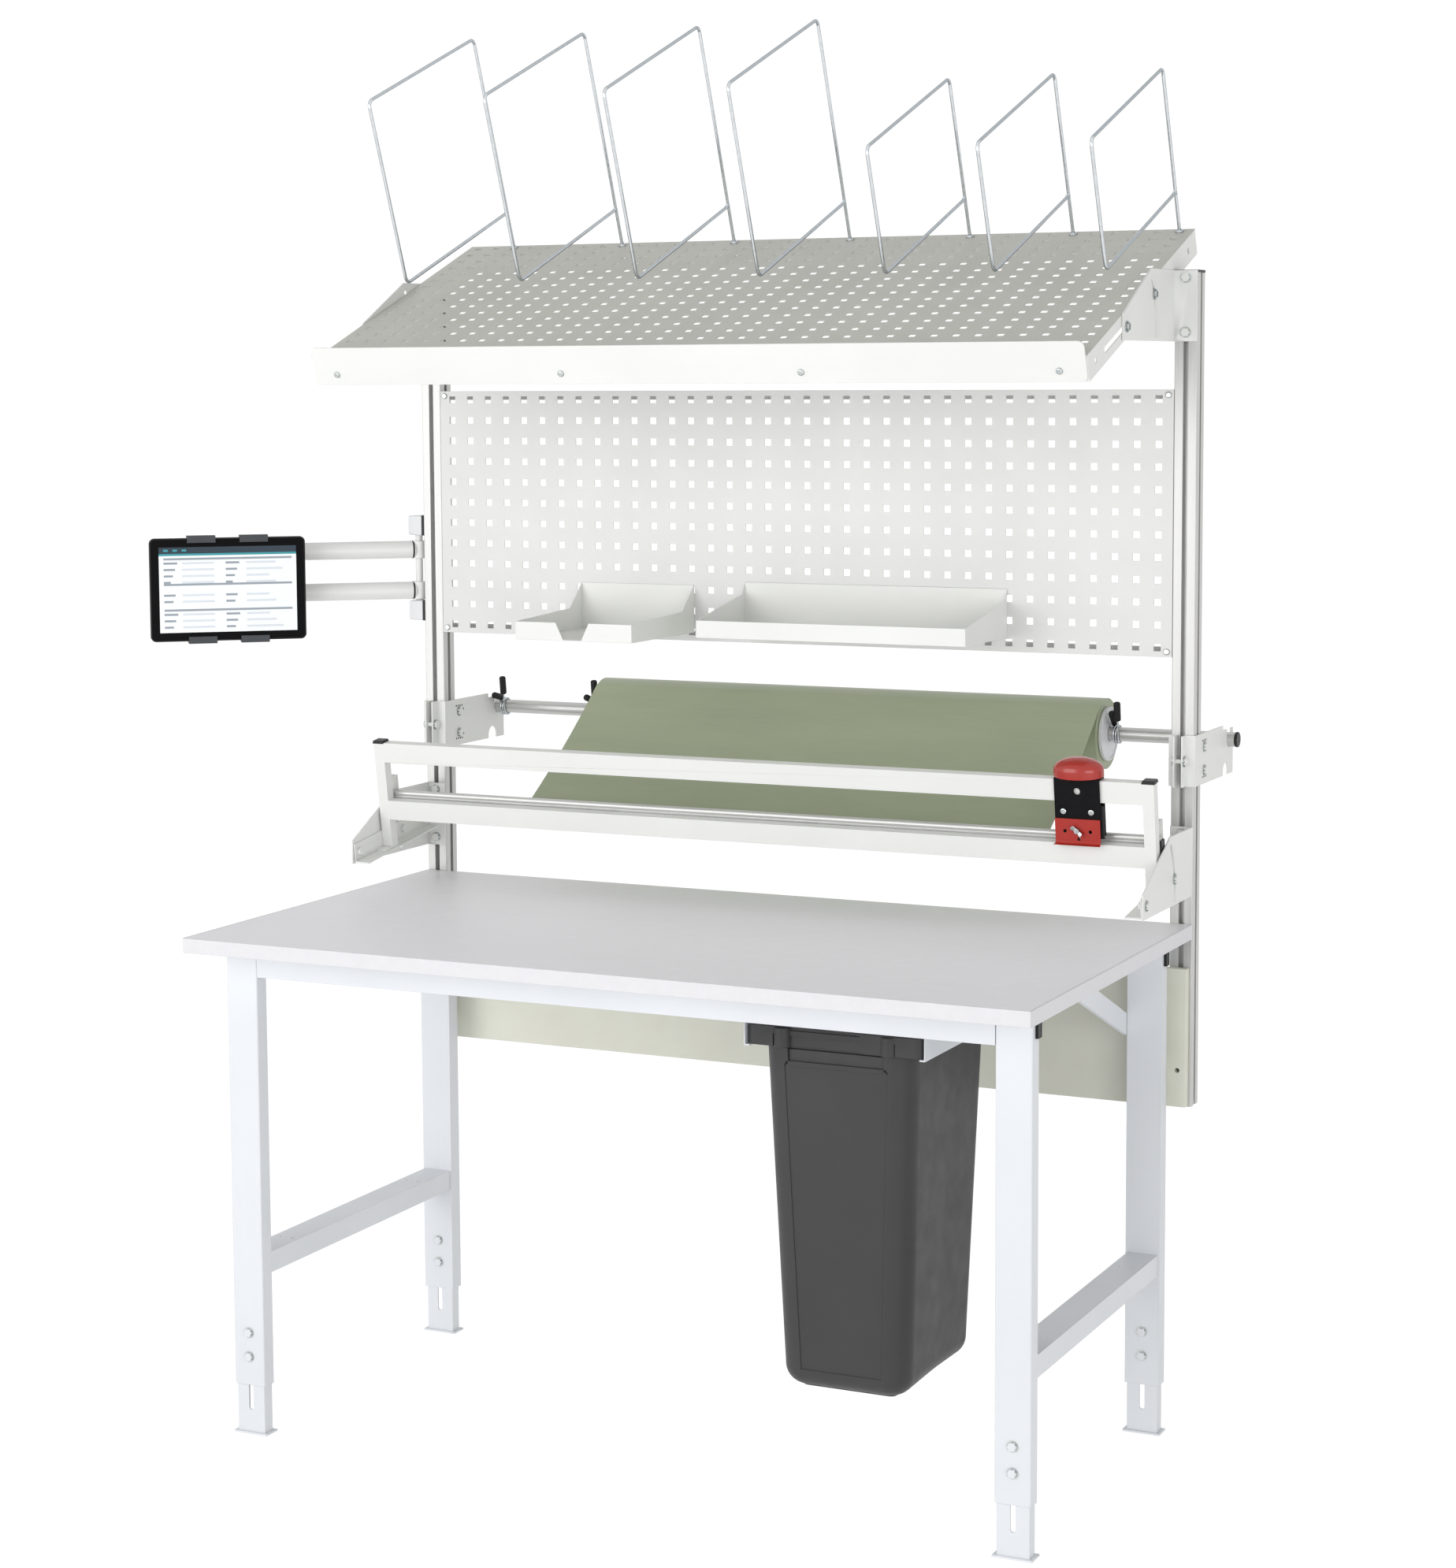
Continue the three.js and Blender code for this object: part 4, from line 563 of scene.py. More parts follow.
def card(name, colour):
    tree = Tree(name)
    fibre = tree.noise(160.0, 6.0, 0.65, (0.4, 1.0, 1.0))
    tree.set(Base_Color=tree.tones(fibre, colour, 0.82, 1.1), Roughness=0.85)
    tree.bump(fibre, 0.3, 0.0002)
    return tree.material


def lit_screen(name, colour):
    tree = Tree(name)
    glow = tree.tones(tree.noise(900.0, 1.0), colour, 0.98, 1.0, 0.4)
    tree.set(Base_Color=glow, Roughness=0.35, Emission_Color=glow,
             **{"Emission Strength": 0.12, "Specular IOR Level": 0.2})
    tree.bump(tree.noise(500.0, 1.0), 0.02, 0.00002)
    return tree.material


FINISHES = {
    "frame_steel": lambda c: coat("frame steel coat", c.frame_steel, 0.42),
    "painted_steel": lambda c: coat("light grey coat", c.painted_steel, 0.4),
    # Painted shade: the tool panel gets a darker copy of the upper steel's coat, toning down the
    # light on its face.
    "panel_painted_shade": lambda c: coat("panel coat with painted shade", c.panel, 0.42),
    # Painted shade: the shelf's sheet gets a darker copy of the upper steel's coat, for its top
    # that faces up, away from the frontal light.
    "shelf_painted_shade": lambda c: coat("shelf coat with painted shade", c.shelf, 0.44),
    "laminate": lambda c: laminate("worktop laminate", c.laminate),
    # The edge band has its own tone, and is also drawn darker than the laminate as painted shade
    # on the worktop's front face.
    "edge_band": lambda c: laminate("edge band with painted shade", c.edge_band),
    "plain_board": lambda c: board("modesty board", c.plain_board),
    "anodised_aluminium": lambda c: drawn_metal("anodised upright", c.aluminium, 0.34,
                                                (1.0, 1.0, 0.03)),
    "anodised_bar": lambda c: drawn_metal("anodised bar", c.aluminium, 0.3, (0.03, 1.0, 1.0)),
    "silver_coat": lambda c: coat("silver coat", c.silver, 0.34),
    "chrome_wire": lambda c: bright_metal("chrome wire", c.chrome, 0.08),
    "spring_steel": lambda c: bright_metal("spring steel", c.chrome, 0.16),
    "zinc": lambda c: bright_metal("zinc plate", c.zinc, 0.22, linear(205, 203, 186)),
    "white_plastic": lambda c: coat("white plastic", c.white_plastic, 0.36, 0.001, 260.0),
    "green_film": lambda c: film("grey-green film", c.film),
    "film_edges": lambda c: windings("film edges", c.film),
    "cardboard": lambda c: card("cardboard core", linear(176, 148, 112)),
    "black_plastic": lambda c: cloth_grain("moulded black", c.black, 0.42, 900.0),
    "grip_rubber": lambda c: cloth_grain("grip sleeve", c.black, 0.55, 1500.0),
    "black_coat": lambda c: matt("black coat", shade(c.black, 0.85)),
    "red_paint": lambda c: coat("red coat", c.red, 0.36, 0.0006, 600.0),
    "red_plastic": lambda c: gloss("moulded red", c.red, 0.22),
    "jaw_plastic": lambda c: cloth_grain("jaw plastic", c.jaw, 0.5, 700.0),
    "bin_plastic": lambda c: cloth_grain("bin plastic", c.bin, 0.47, 800.0),
    "bezel": lambda c: matt("dark glass border", linear(14, 14, 16)),
    # Painted shade: dark grey for the walls of drilled holes and for narrow gaps and crevices,
    # where shade falls.
    "hollow_shade": lambda c: coat("painted hollow shade", linear(38, 40, 42), 0.7, 0.0004),
    "screen_paper": lambda c: lit_screen("screen ground", linear(240, 243, 245)),
    "screen_dark": lambda c: lit_screen("screen header", linear(44, 58, 70)),
    "screen_accent": lambda c: lit_screen("screen accent", linear(62, 150, 160)),
    "screen_line": lambda c: lit_screen("screen line", linear(150, 158, 166)),
    "screen_field": lambda c: lit_screen("screen field", linear(214, 220, 226)),
}
made_finishes = {}


def finish(name):
    if name not in made_finishes:
        made_finishes[name] = FINISHES[name](bpy.context.scene.table_colours)
    return made_finishes[name]


def painted(item, name, test=None):
    """Gives a whole piece a finish, or only the faces that pass a test of place and turn."""
    if test is None:
        item.data.materials.clear()
        item.data.materials.append(finish(name))
        return item
    item.data.materials.append(finish(name))
    index = len(item.data.materials) - 1
    for face in item.data.polygons:
        if test(face.center / MM, face.normal):
            face.material_index = index
    return item


def fitted(item, slot, body, *nodes):
    """Sets a finished piece's body and the solids that it stands for. The slot is not used."""
    applied(item, "WEIGHTED_NORMAL", keep_sharp=True)
    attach(item, body)
    if nodes:
        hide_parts(*nodes)
    return item


# Settings


def colour(name, description, *value):
    return FloatVectorProperty(name=name, description=description, subtype="COLOR", size=4,
                               min=0, max=1, default=linear(*value))


def length(name, description, value):
    return FloatProperty(name=name, description=description, default=value * MM,
                         subtype="DISTANCE", unit="LENGTH", min=0.0)


class TableColours(PropertyGroup):
    frame_steel: colour("Table frame", "Coat of the legs, feet and rails", 223, 226, 230)
    painted_steel: colour("Upper steel", "Coat of the shelf, panel and brackets", 233, 234, 231)
    # The panel's colour is the upper steel's coat drawn darker, as painted shade on its face.
    panel: colour("Panel", "Coat of the tool panel", 224, 224, 223)
    # The shelf's colour is the upper steel's coat drawn darker, as painted shade on its top.
    shelf: colour("Shelf", "Coat of the perforated shelf", 198, 198, 190)
    laminate: colour("Worktop", "Laminate of the worktop", 248, 247, 251)
    # Darker than the laminate: partly the band's own tone, partly painted shade on the worktop's
    # front face.
    edge_band: colour("Edge band", "Band round the worktop", 221, 220, 223)
    plain_board: colour("Modesty board", "Board behind the legs", 228, 229, 215)
    aluminium: colour("Aluminium", "Uprights and bars", 199, 199, 197)
    silver: colour("Silver", "Coat of the swing arm", 238, 238, 237)
    chrome: colour("Chrome", "Wire dividers and springs", 214, 218, 221)
    zinc: colour("Zinc", "Bolts, screws and nuts", 196, 203, 207)
    white_plastic: colour("White plastic", "Cones of the roll", 228, 229, 231)
    film: colour("Film", "Film on the roll and its web", 158, 168, 138)
    black: colour("Black", "Caps, grips and carriage", 26, 26, 28)
    red: colour("Red", "Grip and blade plate", 170, 36, 24)
    jaw: colour("Jaws", "Holder of the tablet", 70, 73, 77)
    bin: colour("Bin", "Waste bin", 62, 62, 63)


class SheetSizes(PropertyGroup):
    hole: length("Hole", "Side of each square hole", 12.6)
    column_pitch: length("Column pitch", "Middle to middle of the hole columns", 38)
    panel_row_pitch: length("Panel row pitch", "Middle to middle of the panel's rows", 38)
    shelf_row_pitch: length("Shelf row pitch", "Middle to middle of the shelf's rows", 35)
    sheet: length("Sheet", "Thickness of the perforated sheets", 1.5)
    columns: IntProperty(name="Columns", description="Holes across", default=37, min=1)
    panel_rows: IntProperty(name="Panel rows", description="Rows of the tool panel", default=12,
                            min=1)
    shelf_rows: IntProperty(name="Shelf rows", description="Rows of the shelf", default=17,
                            min=1)


class FittingSizes(PropertyGroup):
    head_radius: length("Bolt head", "Radius of a bolt's head over its corners", 7.2)
    head_height: length("Head height", "Height of a bolt's head", 4.6)
    screw_radius: length("Screw head", "Radius of a screw's head", 5.4)
    wire: length("Divider wire", "Radius of a divider's wire", 3)
    wire_corner: length("Wire corner", "Bend radius of a divider's corners", 12)
    fold: length("Fold", "Outer radius of folded and rolled steel", 1.6)


class StageSizes(PropertyGroup):
    camera_place: FloatVectorProperty(
        name="Camera", description="Place of the camera, from the middle of the worktop",
        subtype="XYZ", unit="LENGTH", default=(2.3047, -4.7014, 1.8051))
    camera_turn: FloatVectorProperty(
        name="Camera turn", description="Turn of the camera", subtype="EULER",
        default=(math.radians(90 - 5.527), math.radians(0.302), math.radians(25.38)))
    lens: FloatProperty(name="Lens", description="Focal length in millimetres", default=72.37,
                        min=1)
    rise: FloatProperty(name="Rise", description="Upward shift of the lens, of the picture",
                        default=-0.0679)
    lamp: FloatProperty(name="Lamp", description="Power of the main soft lamp in watts",
                        default=128, min=0)
    sky: FloatProperty(name="Sky", description="Strength of the white light at eye height",
                       default=0.85, min=0)
    overhead: FloatProperty(name="Overhead", description="Share of it from above", default=0.5,
                            min=0)


def settings():
    scene = bpy.context.scene
    return scene.table_sheets, scene.table_fittings, scene.table_stage


# Pieces


class TABLE_OT_solids(Operator):
    """Gives every CAD solid its finish, from the slot that the record names for it"""

    bl_idname = "packing_table.solids"
    bl_label = "Finish the solids"

    def execute(self, context):
        under = ("leg_", "foot_", "cross_bar", "brace_", "top_frame", "bin_rail")
        for part in frame["record"]["subparts"]:
            node, name = part["node"], part["material_slot"]
            if node.startswith(under):
                name = "frame_steel"
            elif node in ("roll_bar", "press_bar", "swing_arm"):
                name = "anodised_bar"
            item = frame["nodes"][node]
            if not item.material_slots:
                item.data.materials.append(None)
            for slot in item.material_slots:
                slot.material = finish(name)
        return {"FINISHED"}


class TABLE_OT_steel(Operator):
    """Rounds the folds and rolled corners of the steel and board pieces"""

    bl_idname = "packing_table.steel"
    bl_label = "Steel pieces"

    def execute(self, context):
        fold = settings()[1].fold / MM
        tubes = [f"leg_{row}_{side}" for row in ("front", "rear") for side in ("left", "right")]
        rounded = [(node, "frame_steel", 3.0, 60.0) for node in tubes]
        rounded += [(node.replace("leg", "foot"), "frame_steel", 1.2, 25.0) for node in tubes]
        rounded += [("top_frame", "frame_steel", 2.0, 30.0),
                    ("modesty_board", "plain_board", 0.8, 12.0),
                    ("worktop_edge", "edge_band", 0.8, 12.0),
                    ("small_tray", "painted_steel", 1.2, 14.0),
                    ("large_tray", "painted_steel", 1.2, 14.0),
                    ("shelf_lip", "painted_steel", 0.9, 14.0),
                    ("cutter_frame", "painted_steel", 1.6, 14.0)]
        for side in ("left", "right"):
            rounded += [(f"cross_bar_{side}", "frame_steel", 2.0, 20.0),
                        (f"brace_{side}", "frame_steel", 1.5, 20.0),
                        (f"bin_rail_{side}", "frame_steel", 1.0, 12.0),
                        (f"shelf_bracket_{side}", "painted_steel", 1.0, 14.0),
                        (f"cutter_bracket_{side}", "painted_steel", 1.0, 14.0),
                        (f"roll_bracket_{side}", "painted_steel", 1.0, 12.0),
                        (f"cutter_arm_{side}", "painted_steel", 1.0, 14.0),
                        (f"upright_{side}", "anodised_aluminium", 0.5, 30.0)]
        for node, name, width, least in rounded:
            item = self.shaped(node)
            eased(item, min(width, fold * 2), least)
            painted(item, name)
            if node.startswith("roll_bracket"):
                self.index_holes(item, node)
            slot = "painted_steel" if name == "frame_steel" else name
            fitted(item, slot, body_of(node), node)
        return {"FINISHED"}

    def shaped(self, node):
        """A solid's copy, with the details that only the finished piece has."""
        sign = -1 if node.endswith("left") else 1
        if node.startswith("brace"):
            return self.brace(f"{node}_strip", sign)
        item = of_solid(node, f"{node}_rounded")
        if node.startswith("leg_rear"):
            item = self.rear_leg(item, node, sign)
        elif node.startswith("foot"):
            self.foot_window(item, node, sign)
        elif node.startswith("roll_bracket"):
            tab_front, tab_rear, tab_top = 560, 640, 1184
            left, right = across(sign, UPRIGHT_X - 40, UPRIGHT_X + 40)
            above = block("trim", (left, tab_front, tab_top), (right, tab_rear, tab_top + 36))
            carved(item, moved(above, ON_TABLE))
        return item

    @staticmethod
    def rear_leg(item, node, sign):
        """A leg closed by a flat rear wall, with two slim mounts hidden behind it."""
        cut, rear, low, top = 348.7, 350, 86, 844.7
        only_side(item, ON_TABLE @ Vector((0, cut * MM, 0)), (0, 1, 0))
        only_side(item, ON_TABLE @ Vector((sign * (LEG_OUTER + 0.2) * MM, 0, 0)), (sign, 0, 0))
        left, right = across(sign, LEG_OUTER - 60, LEG_OUTER)
        parts = [item, moved(block("lid", (left, cut - 0.1, low), (right, rear, top)), ON_TABLE)]
        left, right = across(sign, 694, 706)
        for start, reach, height in ((600, 383.7, 40), (800, 396.7, 40)):
            mount = block("mount", (left, rear - 0.1, start), (right, reach, start + height))
            parts.append(moved(mount, ON_TABLE))
        return joined(f"{node}_rounded", parts)

    @staticmethod
    def foot_window(item, node, sign):
        """Opens a foot's rear wall, so that light shows through its slot."""
        left, right = across(sign, 674, 710)
        y = dict(LEG_ROWS)[node.split("_")[1]]
        low, top = 14, 382
        carved(item, moved(block("window", (left, y + 4, low), (right, y + 20, top)), ON_TABLE))

    @staticmethod
    def brace(name, sign):
        """A slanted strip from a rear leg up to the frame."""
        left, right = across(sign, 653, 661.5)
        front, leg, low, top, frame_z = 110, 319.8, 688, 726, 794.4
        item = block(name, (left, front, low), (right, leg, top))
        for z, shift in ((top, 52), (low, -42)):
            pick(item, lambda co, n: abs(co.y - front) < 0.5 and abs(co.z - z) < 0.5, "VERT")
            slide((0, shift, frame_z - z))
            leave()
        return moved(item, ON_TABLE)

    @staticmethod
    def index_holes(item, node):
        """Small holes round the two index bolts, drilled from the bracket's right face."""
        sign = -1 if node.endswith("left") else 1
        face = sign * UPRIGHT_X + 21.8
        pitch, rise, radius, depth, aside = 7, 11, 1.9, 8, 16
        places = [(INDEX_BOLT_Y + pitch * step, z + side * rise)
                  for z, side in zip(INDEX_BOLTS, (1, -1)) for step in (-1.5, -0.5, 0.5, 1.5)]
        places += [(INDEX_BOLT_Y + aside, z) for z in (1172, 1125)]
        # The drills carry the painted hollow shade onto the walls of the holes.
        drills = [painted(rod("drill", "x", (face, y, z), radius, depth, 12), "hollow_shade")
                  for y, z in places]
        carved(item, moved(joined("drills", drills), ON_TABLE))


def perforated(name, rows, row_pitch, sheets, size):
    """A sheet of square holes in the XY plane, face up, its middle at the origin."""
    pitch, hole = sheets.column_pitch, sheets.hole
    deselect()
    bpy.ops.mesh.primitive_plane_add(size=1)
    bpy.context.active_object.scale = (pitch, row_pitch, 1)
    item = settled(name)
    opened(item, "FACE")
    border = (pitch - hole) / 2
    bpy.ops.mesh.inset(thickness=border)
    resize((1, hole / (row_pitch - 2 * border), 1))
    bpy.ops.mesh.delete(type="FACE")
    leave()
    for count, offset in ((sheets.columns, (pitch, 0, 0)), (rows, (0, row_pitch, 0))):
        applied(item, "ARRAY", count=count, use_relative_offset=False, use_constant_offset=True,
                constant_offset_displace=offset, use_merge_vertices=True,
                merge_threshold=0.0001)
    moved(item, Matrix.Translation((-(sheets.columns - 1) * pitch / 2,
                                    -(rows - 1) * row_pitch / 2, 0)))
    reach = (sheets.columns * pitch / 2, rows * row_pitch / 2)
    for axis in (0, 1):
        for sign in (-1, 1):
            edge = sign * reach[axis] / MM
            pick(item, lambda co, _: abs(co[axis] - edge) < 0.2, "VERT")
            shift = [0.0, 0.0, 0.0]
            shift[axis] = sign * (size[axis] / 2 * MM - reach[axis])
            bpy.ops.transform.translate(value=shift)
            leave()
    applied(item, "SOLIDIFY", thickness=sheets.sheet, offset=-1.0)
    return item


def folded_rim(name, low, high, wall, axis, corner=1.5):
    """A folded band of sheet round four sides of a box, open along one axis."""
    item = block(name, low, high)
    pick(item, lambda co, n: abs(n[axis]) > 0.9)
    bpy.ops.mesh.delete(type="FACE")
    leave()
    pick(item, lambda co, d: abs(d[axis]) > 1, "EDGE")
    round_off(corner, 3)
    leave()
    return applied(item, "SOLIDIFY", thickness=wall * MM, offset=-1.0)


class TABLE_OT_panel(Operator):
    """Perforated tool panel: a sheet of square holes on its folded rim"""

    bl_idname = "packing_table.panel"
    bl_label = "Tool panel"

    def execute(self, context):
        sheets = settings()[0]
        low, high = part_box("tool_panel")
        width, height = (high.x - low.x) / MM, (high.z - low.z) / MM
        front, wall, half = PANEL_FRONT, sheets.sheet / MM, width / 2
        bottom, top = low.z / MM, high.z / MM
        depth, lip, gap, lip_front, lip_rear = 20, 16, 2, 18.4, 19.9
        rim = folded_rim("panel_rim", (-half, front + wall, bottom), (half, front + depth, top),
                         wall, 1)
        lips = [block("panel_lip", (-half + gap, front + lip_front, start),
                      (half - gap, front + lip_rear, start + lip - wall))
                for start in (bottom + wall, top - lip)]
        moved(joined("panel_rim", [rim, *lips]), ON_TABLE)
        sheet = perforated("panel_sheet", sheets.panel_rows, sheets.panel_row_pitch, sheets,
                           (width, height))
        centre = ((low.x + high.x) / 2, TABLE.y + front * MM, (low.z + high.z) / 2)
        moved(sheet, axes_at(centre, 90))
        item = joined("tool_panel_perforated", [sheet, rim])
        # The panel and its rim take the darker copy of the upper steel's coat, as painted shade.
        smooth(painted(item, "panel_painted_shade"), 30)
        fitted(item, "painted_steel", "root", "tool_panel")
        return {"FINISHED"}


class TABLE_OT_shelf(Operator):
    """Perforated shelf: a sheet of square holes on its folded rim"""

    bl_idname = "packing_table.shelf"
    bl_label = "Divider shelf"

    def execute(self, context):
        sheets = settings()[0]
        half, wall = 706.7, sheets.sheet / MM
        front, rear, low, top = -190, 410, -20, 24
        slot_front, slot_rear, slot_half, through = -108, -8, 5, 6
        rim = folded_rim("shelf_rim", (-half, front, low), (half, rear, top - wall), wall, 2)
        tools = []
        for sign in (-1, 1):
            left, right = across(sign, half - through, half + through)
            slot = block("tool", (left, slot_front, -slot_half), (right, slot_rear, slot_half))
            pick(slot, lambda co, d: abs(d.x) > 1, "EDGE")
            round_off(slot_half - 0.1, 5)
            leave()
            tools.append(slot)
            for y, size in ((-152, 9), (362, 10)):
                tools.append(block("tool", (left, y - size / 2, -size / 2 + 1),
                                   (right, y + size / 2, size / 2 + 1)))
        moved(carved(rim, *tools), ON_SHELF)
        depth, middle = 595, 115
        sheet = perforated("shelf_sheet", sheets.shelf_rows, sheets.shelf_row_pitch, sheets,
                           (2 * half, depth))
        for sign, shift in ((-1, front - middle + depth / 2), (1, rear - middle - depth / 2)):
            pick(sheet, lambda co, _: co.y * sign > depth / 2 - 0.5, "VERT")
            slide((0, shift, 0))
            leave()
        moved(sheet, ON_SHELF @ Matrix.Translation((0, middle * MM, top * MM)))
        # The sheet is drawn darker than its rim, as painted shade on its top.
        painted(sheet, "shelf_painted_shade")
        painted(rim, "painted_steel")
        item = smooth(joined("shelf_perforated", [sheet, rim]), 30)
        fitted(item, "painted_steel", "shelf", "shelf")
        return {"FINISHED"}


DIVIDER_REAR = 395
SHELF_TOP = 24
TALL_COLUMNS = (-16, -10, -4, 2)
SHORT_COLUMNS = (8, 13, 18)


class TABLE_OT_dividers(Operator):
    """Seven wire dividers: one tall and one short are bent and welded, then copied"""

    bl_idname = "packing_table.dividers"
    bl_label = "Wire dividers"

    def divider(self, name, height, sizes):
        wire, corner = sizes.wire / MM, sizes.wire_corner / MM
        depth, low, foot = 390, 70, -24
        high = low + height
        hoop = spun_wire(f"{name}_hoop", wire, (0, 0, foot), [
            (0, 0, high - corner - foot),
            ((0, -corner, high - corner), (1, 0, 0), 90),
            (0, -(depth - 2 * corner), 0),
            ((0, -depth + corner, high - corner), (1, 0, 0), 90),
            (0, 0, -(height - 2 * corner)),
            ((0, -depth + corner, low + corner), (1, 0, 0), 90),
            (0, depth - corner - 1, 0),
        ])
        weld = rod(f"{name}_weld", "y", (0, -wire, low), wire * 1.35, wire * 2.2, 16, wire)
        collar_radius, collar_height, lift = 7, 3, 0.3
        collar = rod(f"{name}_collar", "z", (0, 0, lift + collar_height / 2), collar_radius,
                     collar_height, 32)
        bevelled(collar, 0.8)
        item = joined(name, [hoop, weld, collar])
        return smooth(painted(item, "chrome_wire"), 50)

    def execute(self, context):
        sizes = settings()[1]
        number = 1
        for height, columns in ((330, TALL_COLUMNS), (215, SHORT_COLUMNS)):
            pattern = self.divider(f"divider_pattern_{height}", height, sizes)
            for column in columns:
                place = Matrix.Translation(
                    (column * settings()[0].column_pitch, DIVIDER_REAR * MM, SHELF_TOP * MM))
                item = copied(pattern, f"divider_wire_{number}", ON_SHELF @ place)
                fitted(item, "chrome_wire", f"divider_{number}", f"divider_{number}")
                number += 1
            bpy.data.objects.remove(pattern)
        return {"FINISHED"}


def bolt_pattern(name, radius, height, washer=True):
    """A chamfered hexagon head, or a domed head, on a washer at the origin, pointing up."""
    sides, rounding, segments = (6, 0.16, 1) if washer else (24, 0.6, 4)
    dish = 0.14
    head = rod(f"{name}_head", "z", (0, 0, height / 2), radius, height, sides)
    pick(head, lambda co, n: n.z > 0.9)
    round_off(height * rounding, segments)
    leave()
    pick(head, lambda co, n: n.z > 0.99 and co.z > height - 0.01)
    inset(dish * radius)
    extrude((0, 0, -height * dish))
    leave()
    parts = [painted(head, "zinc")]
    if washer:
        thickness, spread = 1.2, 1.28
        ring = rod(f"{name}_washer", "z", (0, 0, thickness / 2), radius * spread, thickness, 28)
        painted(bevelled(ring, 0.3, 2), "zinc")
        parts.append(ring)
    return smooth(joined(name, parts), 40)


TURNS = {
    "-y": Matrix.Rotation(math.radians(90), 4, "X"),
    "+y": Matrix.Rotation(math.radians(-90), 4, "X"),
    "+x": Matrix.Rotation(math.radians(90), 4, "Y"),
    "-x": Matrix.Rotation(math.radians(-90), 4, "Y"),
    "+z": Matrix.Identity(4),
    "-z": Matrix.Rotation(math.radians(180), 4, "X"),
}


def set_of(pattern, name, body, places):
    """Copies of a bolt at (axes, direction, place in mm), joined as one piece."""
    parts = [copied(pattern, f"{name}_{index}",
                    axes @ Matrix.Translation(Vector(place) * MM) @ TURNS[direction])
             for index, (axes, direction, place) in enumerate(places)]
    item = joined(name, parts)
    return fitted(item, "painted_steel", body)


class TABLE_OT_fasteners(Operator):
    """Zinc bolts and screws over the plain heads of the solids"""

    bl_idname = "packing_table.fasteners"
    bl_label = "Bolts and screws"

    def execute(self, context):
        sizes = settings()[1]
        radius, height = sizes.head_radius / MM, sizes.head_height / MM
        large = bolt_pattern("bolt_pattern", radius, height)
        small = bolt_pattern("screw_pattern", sizes.screw_radius / MM, 3.0, washer=False)
        leg_x, foot_bolts, upright_front = 692, (136, 178), 397
        plates, plate_bolts, pivots = (1852.7, 919), (15, 106), (0, 152)
        shelf_side, arm_side, bracket_face, nut_side, head_side = 710.3, 750.3, 3, 6.3, 11
        root, shelf, arms = [], [], []
        for sign in (-1, 1):
            for y in (-313, 320):
                root += [(ON_TABLE, "-y", (sign * leg_x, y, z)) for z in foot_bolts]
            for bottom in plates:
                root += [(ON_TABLE, "-y", (sign * UPRIGHT_X, upright_front, bottom + z))
                         for z in plate_bolts]
            out = "+x" if sign > 0 else "-x"
            shelf += [(ON_SHELF, out, (sign * shelf_side, y, 0)) for y in pivots]
            arms += [(ON_CUTTER, out, (sign * arm_side, y, 0)) for y in pivots]
            face = sign * UPRIGHT_X + UPRIGHT_HALF + bracket_face
            root += [(ON_TABLE, "+x", (face, INDEX_BOLT_Y, z)) for z in reversed(INDEX_BOLTS)]
            root.append((ON_TABLE, "-x", (sign * UPRIGHT_X - head_side, *CLAMP_BOLT)))
            root.append((ON_TABLE, "+x", (sign * UPRIGHT_X + nut_side, *CLAMP_BOLT)))
        set_of(large, "table_bolts", "root", root)
        set_of(large, "shelf_bolts", "shelf", shelf)
        set_of(large, "cutter_bolts", "cutter", arms)
        lip_front, lip_z = -192.3, -1
        lip = [(ON_SHELF, "-y", (x, lip_front, lip_z)) for x in (-660, -220, 220, 660)]
        set_of(small, "lip_screws", "shelf", lip)
        corners = [(ON_TABLE, "-y", (x, PANEL_FRONT, z))
                   for x in (-700.7, 700.7) for z in (1332, 1764)]
        set_of(small, "panel_screws", "root", corners)
        spread, plate_front, plate_z = 24, 75.4, 130
        carriage = [(ON_CUTTER, "-y", (CARRIAGE_X + side * spread, plate_front, plate_z))
                    for side in (-1, 1)]
        set_of(small, "carriage_screws", "carriage", carriage)
        for pattern in (large, small):
            bpy.data.objects.remove(pattern)
        return {"FINISHED"}


class TABLE_OT_caps(Operator):
    """Black caps on the uprights and cutter posts, and plugs in the tube ends"""

    bl_idname = "packing_table.caps"
    bl_label = "Caps and plugs"

    def execute(self, context):
        def placed(item, axes, body):
            painted(item, "black_plastic")
            fitted(moved(smooth(item), axes), "black_plastic", body)

        for side, sign in (("left", -1), ("right", 1)):
            front, low, top = 400, 1966.8, 1971.4
            left, right = sign * UPRIGHT_X - UPRIGHT_HALF, sign * UPRIGHT_X + UPRIGHT_HALF
            cap = block(f"upright_cap_{side}", (left, front, low),
                        (right, front + 2 * UPRIGHT_HALF, top))
            pick(cap, lambda co, n: n.z > 0.9)
            inset(3)
            extrude((0, 0, -0.8))
            leave()
            placed(bevelled(cap, 0.8, 3), ON_TABLE, "root")

            left, right = across(sign, 722, 745.6)
            front, rear, low, top = 78.6, 101.4, 181.5, 187.2
            post = block(f"post_cap_{side}", (left, front, low), (right, rear, top))
            pick(post, lambda co, n: n.z > 0.9)
            resize((0.88, 0.86, 1))
            leave()
            placed(bevelled(post, 1.1, 3), ON_CUTTER, "cutter")

            left, right = across(sign, LEG_OUTER - 0.8, LEG_OUTER + 5)
            low, top = 808, 843.5
            for row, y in LEG_ROWS:
                plug = block(f"leg_plug_{row}_{side}", (left, y - 4, low), (right, y + 12, top))
                pick(plug, lambda co, n: n.x * sign > 0.9)
                inset(1.2)
                extrude((-sign * 0.5, 0, 0))
                leave()
                placed(bevelled(plug, 0.25, 2), ON_TABLE, "root")
        return {"FINISHED"}


